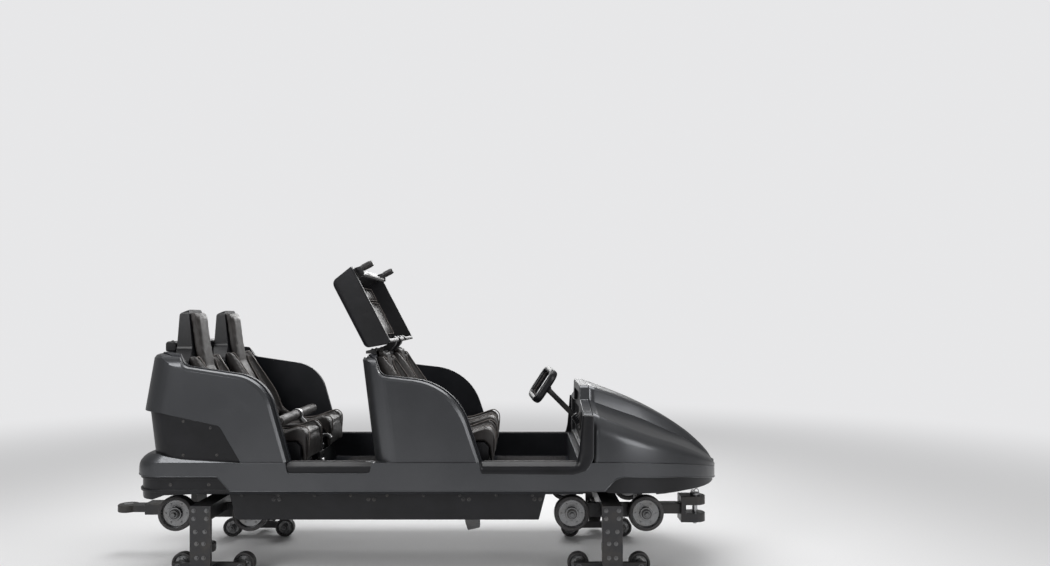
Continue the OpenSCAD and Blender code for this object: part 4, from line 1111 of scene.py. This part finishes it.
# Bolts, pins and screws. Rows of bolts are as in Kit.bolts.
COUPLER_Z = ROAD_Z - 0.070
FRONT_PIN_X, REAR_EYE_X = 1.980, -2.040
COWL_LEAN = tan(radians(7))
PLATE_Y, VALANCE_Y, PANEL_Y = 0.667, 0.608, 0.678  # outer faces
PLATE_BOLTS = [(-0.028, 0.082), (0.028, 0.058)]  # x from the bogie's middle, and z
for half, height in ((0.040, 0.462), (0.040, 0.412), (0.030, 0.330), (0.022, 0.255), (0.022, 0.166)):
    PLATE_BOLTS += [(-half, height), (half, height)]
FRAME_BOLTS = [  # a row and four pairs on the valances, both ends of the frame, and the block under it
    ([(-1.020 + 0.230 * k, VALANCE_Y, 0.545) for k in range(9)], OUT, 0.006, 0.004),
    ([(x + dx, VALANCE_Y, 0.520) for x in (-0.80, -0.20, 0.40, 0.85) for dx in (-0.018, 0.018)],
     OUT, 0.008, 0.006),
    ([(1.595, 0.072, z) for z in (0.312, 0.395, 0.470, 0.535)], AHEAD, 0.009, 0.007),
    ([(-1.560, 0.072, z) for z in (0.312, 0.395, 0.470, 0.535)], BACK, 0.009, 0.007),
    ([(0.40, 0.020, 0.420)], OUT, 0.012, 0.009)]
BODY_SCREWS = [  # black panel's side, rear bumper, black panel's back, headrest beam, and the hood's box
    ([(x, PANEL_Y, LEDGE_Z + z) for x, z in (
        (-1.360, 0.045), (-1.150, 0.045), (-1.360, 0.255), (-1.190, 0.215))], OUT, 0.0055, 0.003),
    ([(x, PANEL_Y, LEDGE_Z - 0.140) for x in (-1.440, -1.200)], OUT, 0.0065, 0.004),
    ([(-1.594 - z * COWL_LEAN, 0.330, LEDGE_Z + z) for z in (0.070, 0.240)],
     (-1, 0, COWL_LEAN), 0.0055, 0.003),
    ([(-1.551, y, LEDGE_Z + 0.748) for y in (0.150, 0.395)], UP, 0.0065, 0.004),
    ([(-0.235, y, LEDGE_Z + 0.695) for y in (0.060, 0.250, 0.395)], (-0.22, 0, 1), 0.0065, 0.004)]


def bogie_bolts(x):
    """Rows of the bogie at x: side plates, and the nuts of its road, upstop and guide wheels."""
    upstops = (x - UPSTOP_X, x + UPSTOP_X)
    return [
        ([(x + dx, PLATE_Y, z) for dx, z in PLATE_BOLTS], OUT, 0.0085, 0.007),
        ([(x - ROAD_X, 0.494, ROAD_Z), (x + ROAD_X, 0.494, ROAD_Z)], OUT, 0.0155, 0.016),
        ([(end, 0.530, UPSTOP_Z) for end in upstops], OUT, 0.011, 0.010),
        ([(end, 0.398, UPSTOP_Z) for end in upstops], IN, 0.011, 0.009),
        ([(x, GUIDE_Y, GUIDE_Z + 0.0635)], UP, 0.010, 0.006),
        ([(x, GUIDE_Y, GUIDE_Z - 0.0635)], DOWN, 0.010, 0.006)]


def make_bolts(name, rows, material, body="car"):
    kit = Kit()
    kit.bolts(rows)
    kit.make(name, material, body, smooth=35)


def make_coupler_pins():
    """The front coupler's pin with its pull ring, and a bush in the rear coupler's eye."""
    pin = Kit()
    pin.turn([(0.010, -0.112), (0.0185, -0.106), (0.0185, 0.090), (0.034, 0.0915), (0.034, 0.104),
              (0.030, 0.108), (0.004, 0.108)], (FRONT_PIN_X, 0, COUPLER_Z), UP, 32)
    ring = [(FRONT_PIN_X + 0.026 * s, 0.026 * c, COUPLER_Z + 0.118 + 0.020 * s * c) for c, s in circle(24)]
    pin.tube(ring, 0.0028, 8, UP, closed=True)
    for s in (-1, 1):
        pin.turn([(0.0202, 0), (0.032, 0), (0.033, 0.002), (0.0202, 0.004)],
                 (REAR_EYE_X, 0, COUPLER_Z + s * 0.025), (0, 0, s), 32)
    pin.make("coupler_pins", "steel")


# CAD nodes that stay, by edge radius in metres and the least angle in degrees of an edge that is rounded
ROUNDING = {
    (0.002, 32): "lap_bar_bracket",
    (0.003, 32): "lap_bar",
    (0.004, 32): "underframe restraint_post restraint_grips chain_dog bogie_frame_front bogie_frame_rear",
    (0.005, 14): "rear_cowl front_cowl",
    (0.005, 24): "rear_bumper",
    (0.005, 32): "nose_surround valances coupler_front coupler_rear",
    (0.006, 24): "lower_body rear_liner front_liner sill_trims",
    (0.006, 32): "tub rear_cowl_base",
    (0.007, 24): "front_bumper",
    (0.007, 32): "restraint_shell",
    (0.008, 32): "dash headrest_beam",
    (0.010, 24): "seat_shells_front seat_shells_rear",
}
NODE_MATERIAL = {"restraint_grips": "black_metal", "lap_bar_bracket": "dark_steel", "chain_dog": "dark_steel"}


def dress_cad_nodes():
    """Gives each CAD node its material and, where it stays in view, rounded edges."""
    slots = {row["node"]: row["material_slot"] for row in frame["record"]["subparts"]}
    group = angle_group()
    for name, obj in nodes.items():
        material = M[NODE_MATERIAL.get(name, SLOT_MATERIAL[slots[name]])]
        if not obj.material_slots:
            obj.data.materials.append(material)
        for place in obj.material_slots:
            place.material = material
    for (radius, angle), names in ROUNDING.items():
        for name in names.split():
            bevel(nodes[name], radius, angle, group)


bpy.context.scene.view_settings.view_transform = "Standard"
make_camera()
make_lamps()
make_world()
make_floor_plane()
make_seats()
make_hood_pads()
inflate_all()
make_lap_roll()
make_handle()
make_nose()
make_wheels()
make_skirt_lip()
make_sill_lines()
make_sill_bands()
make_hood_edge()
make_hood_piping()
make_latches()
make_grip_sleeves()
make_mats()
make_dash_trim()
make_lap_fittings()
for bogie_name, bogie_x in BOGIE_X.items():
    make_bolts(f"bogie_{bogie_name}_bolts", bogie_bolts(bogie_x), "dark_steel", f"bogie_{bogie_name}")
make_bolts("frame_bolts", FRAME_BOLTS, "black_metal")
make_coupler_pins()
make_bolts("body_screws", BODY_SCREWS, "black_metal")
dress_cad_nodes()
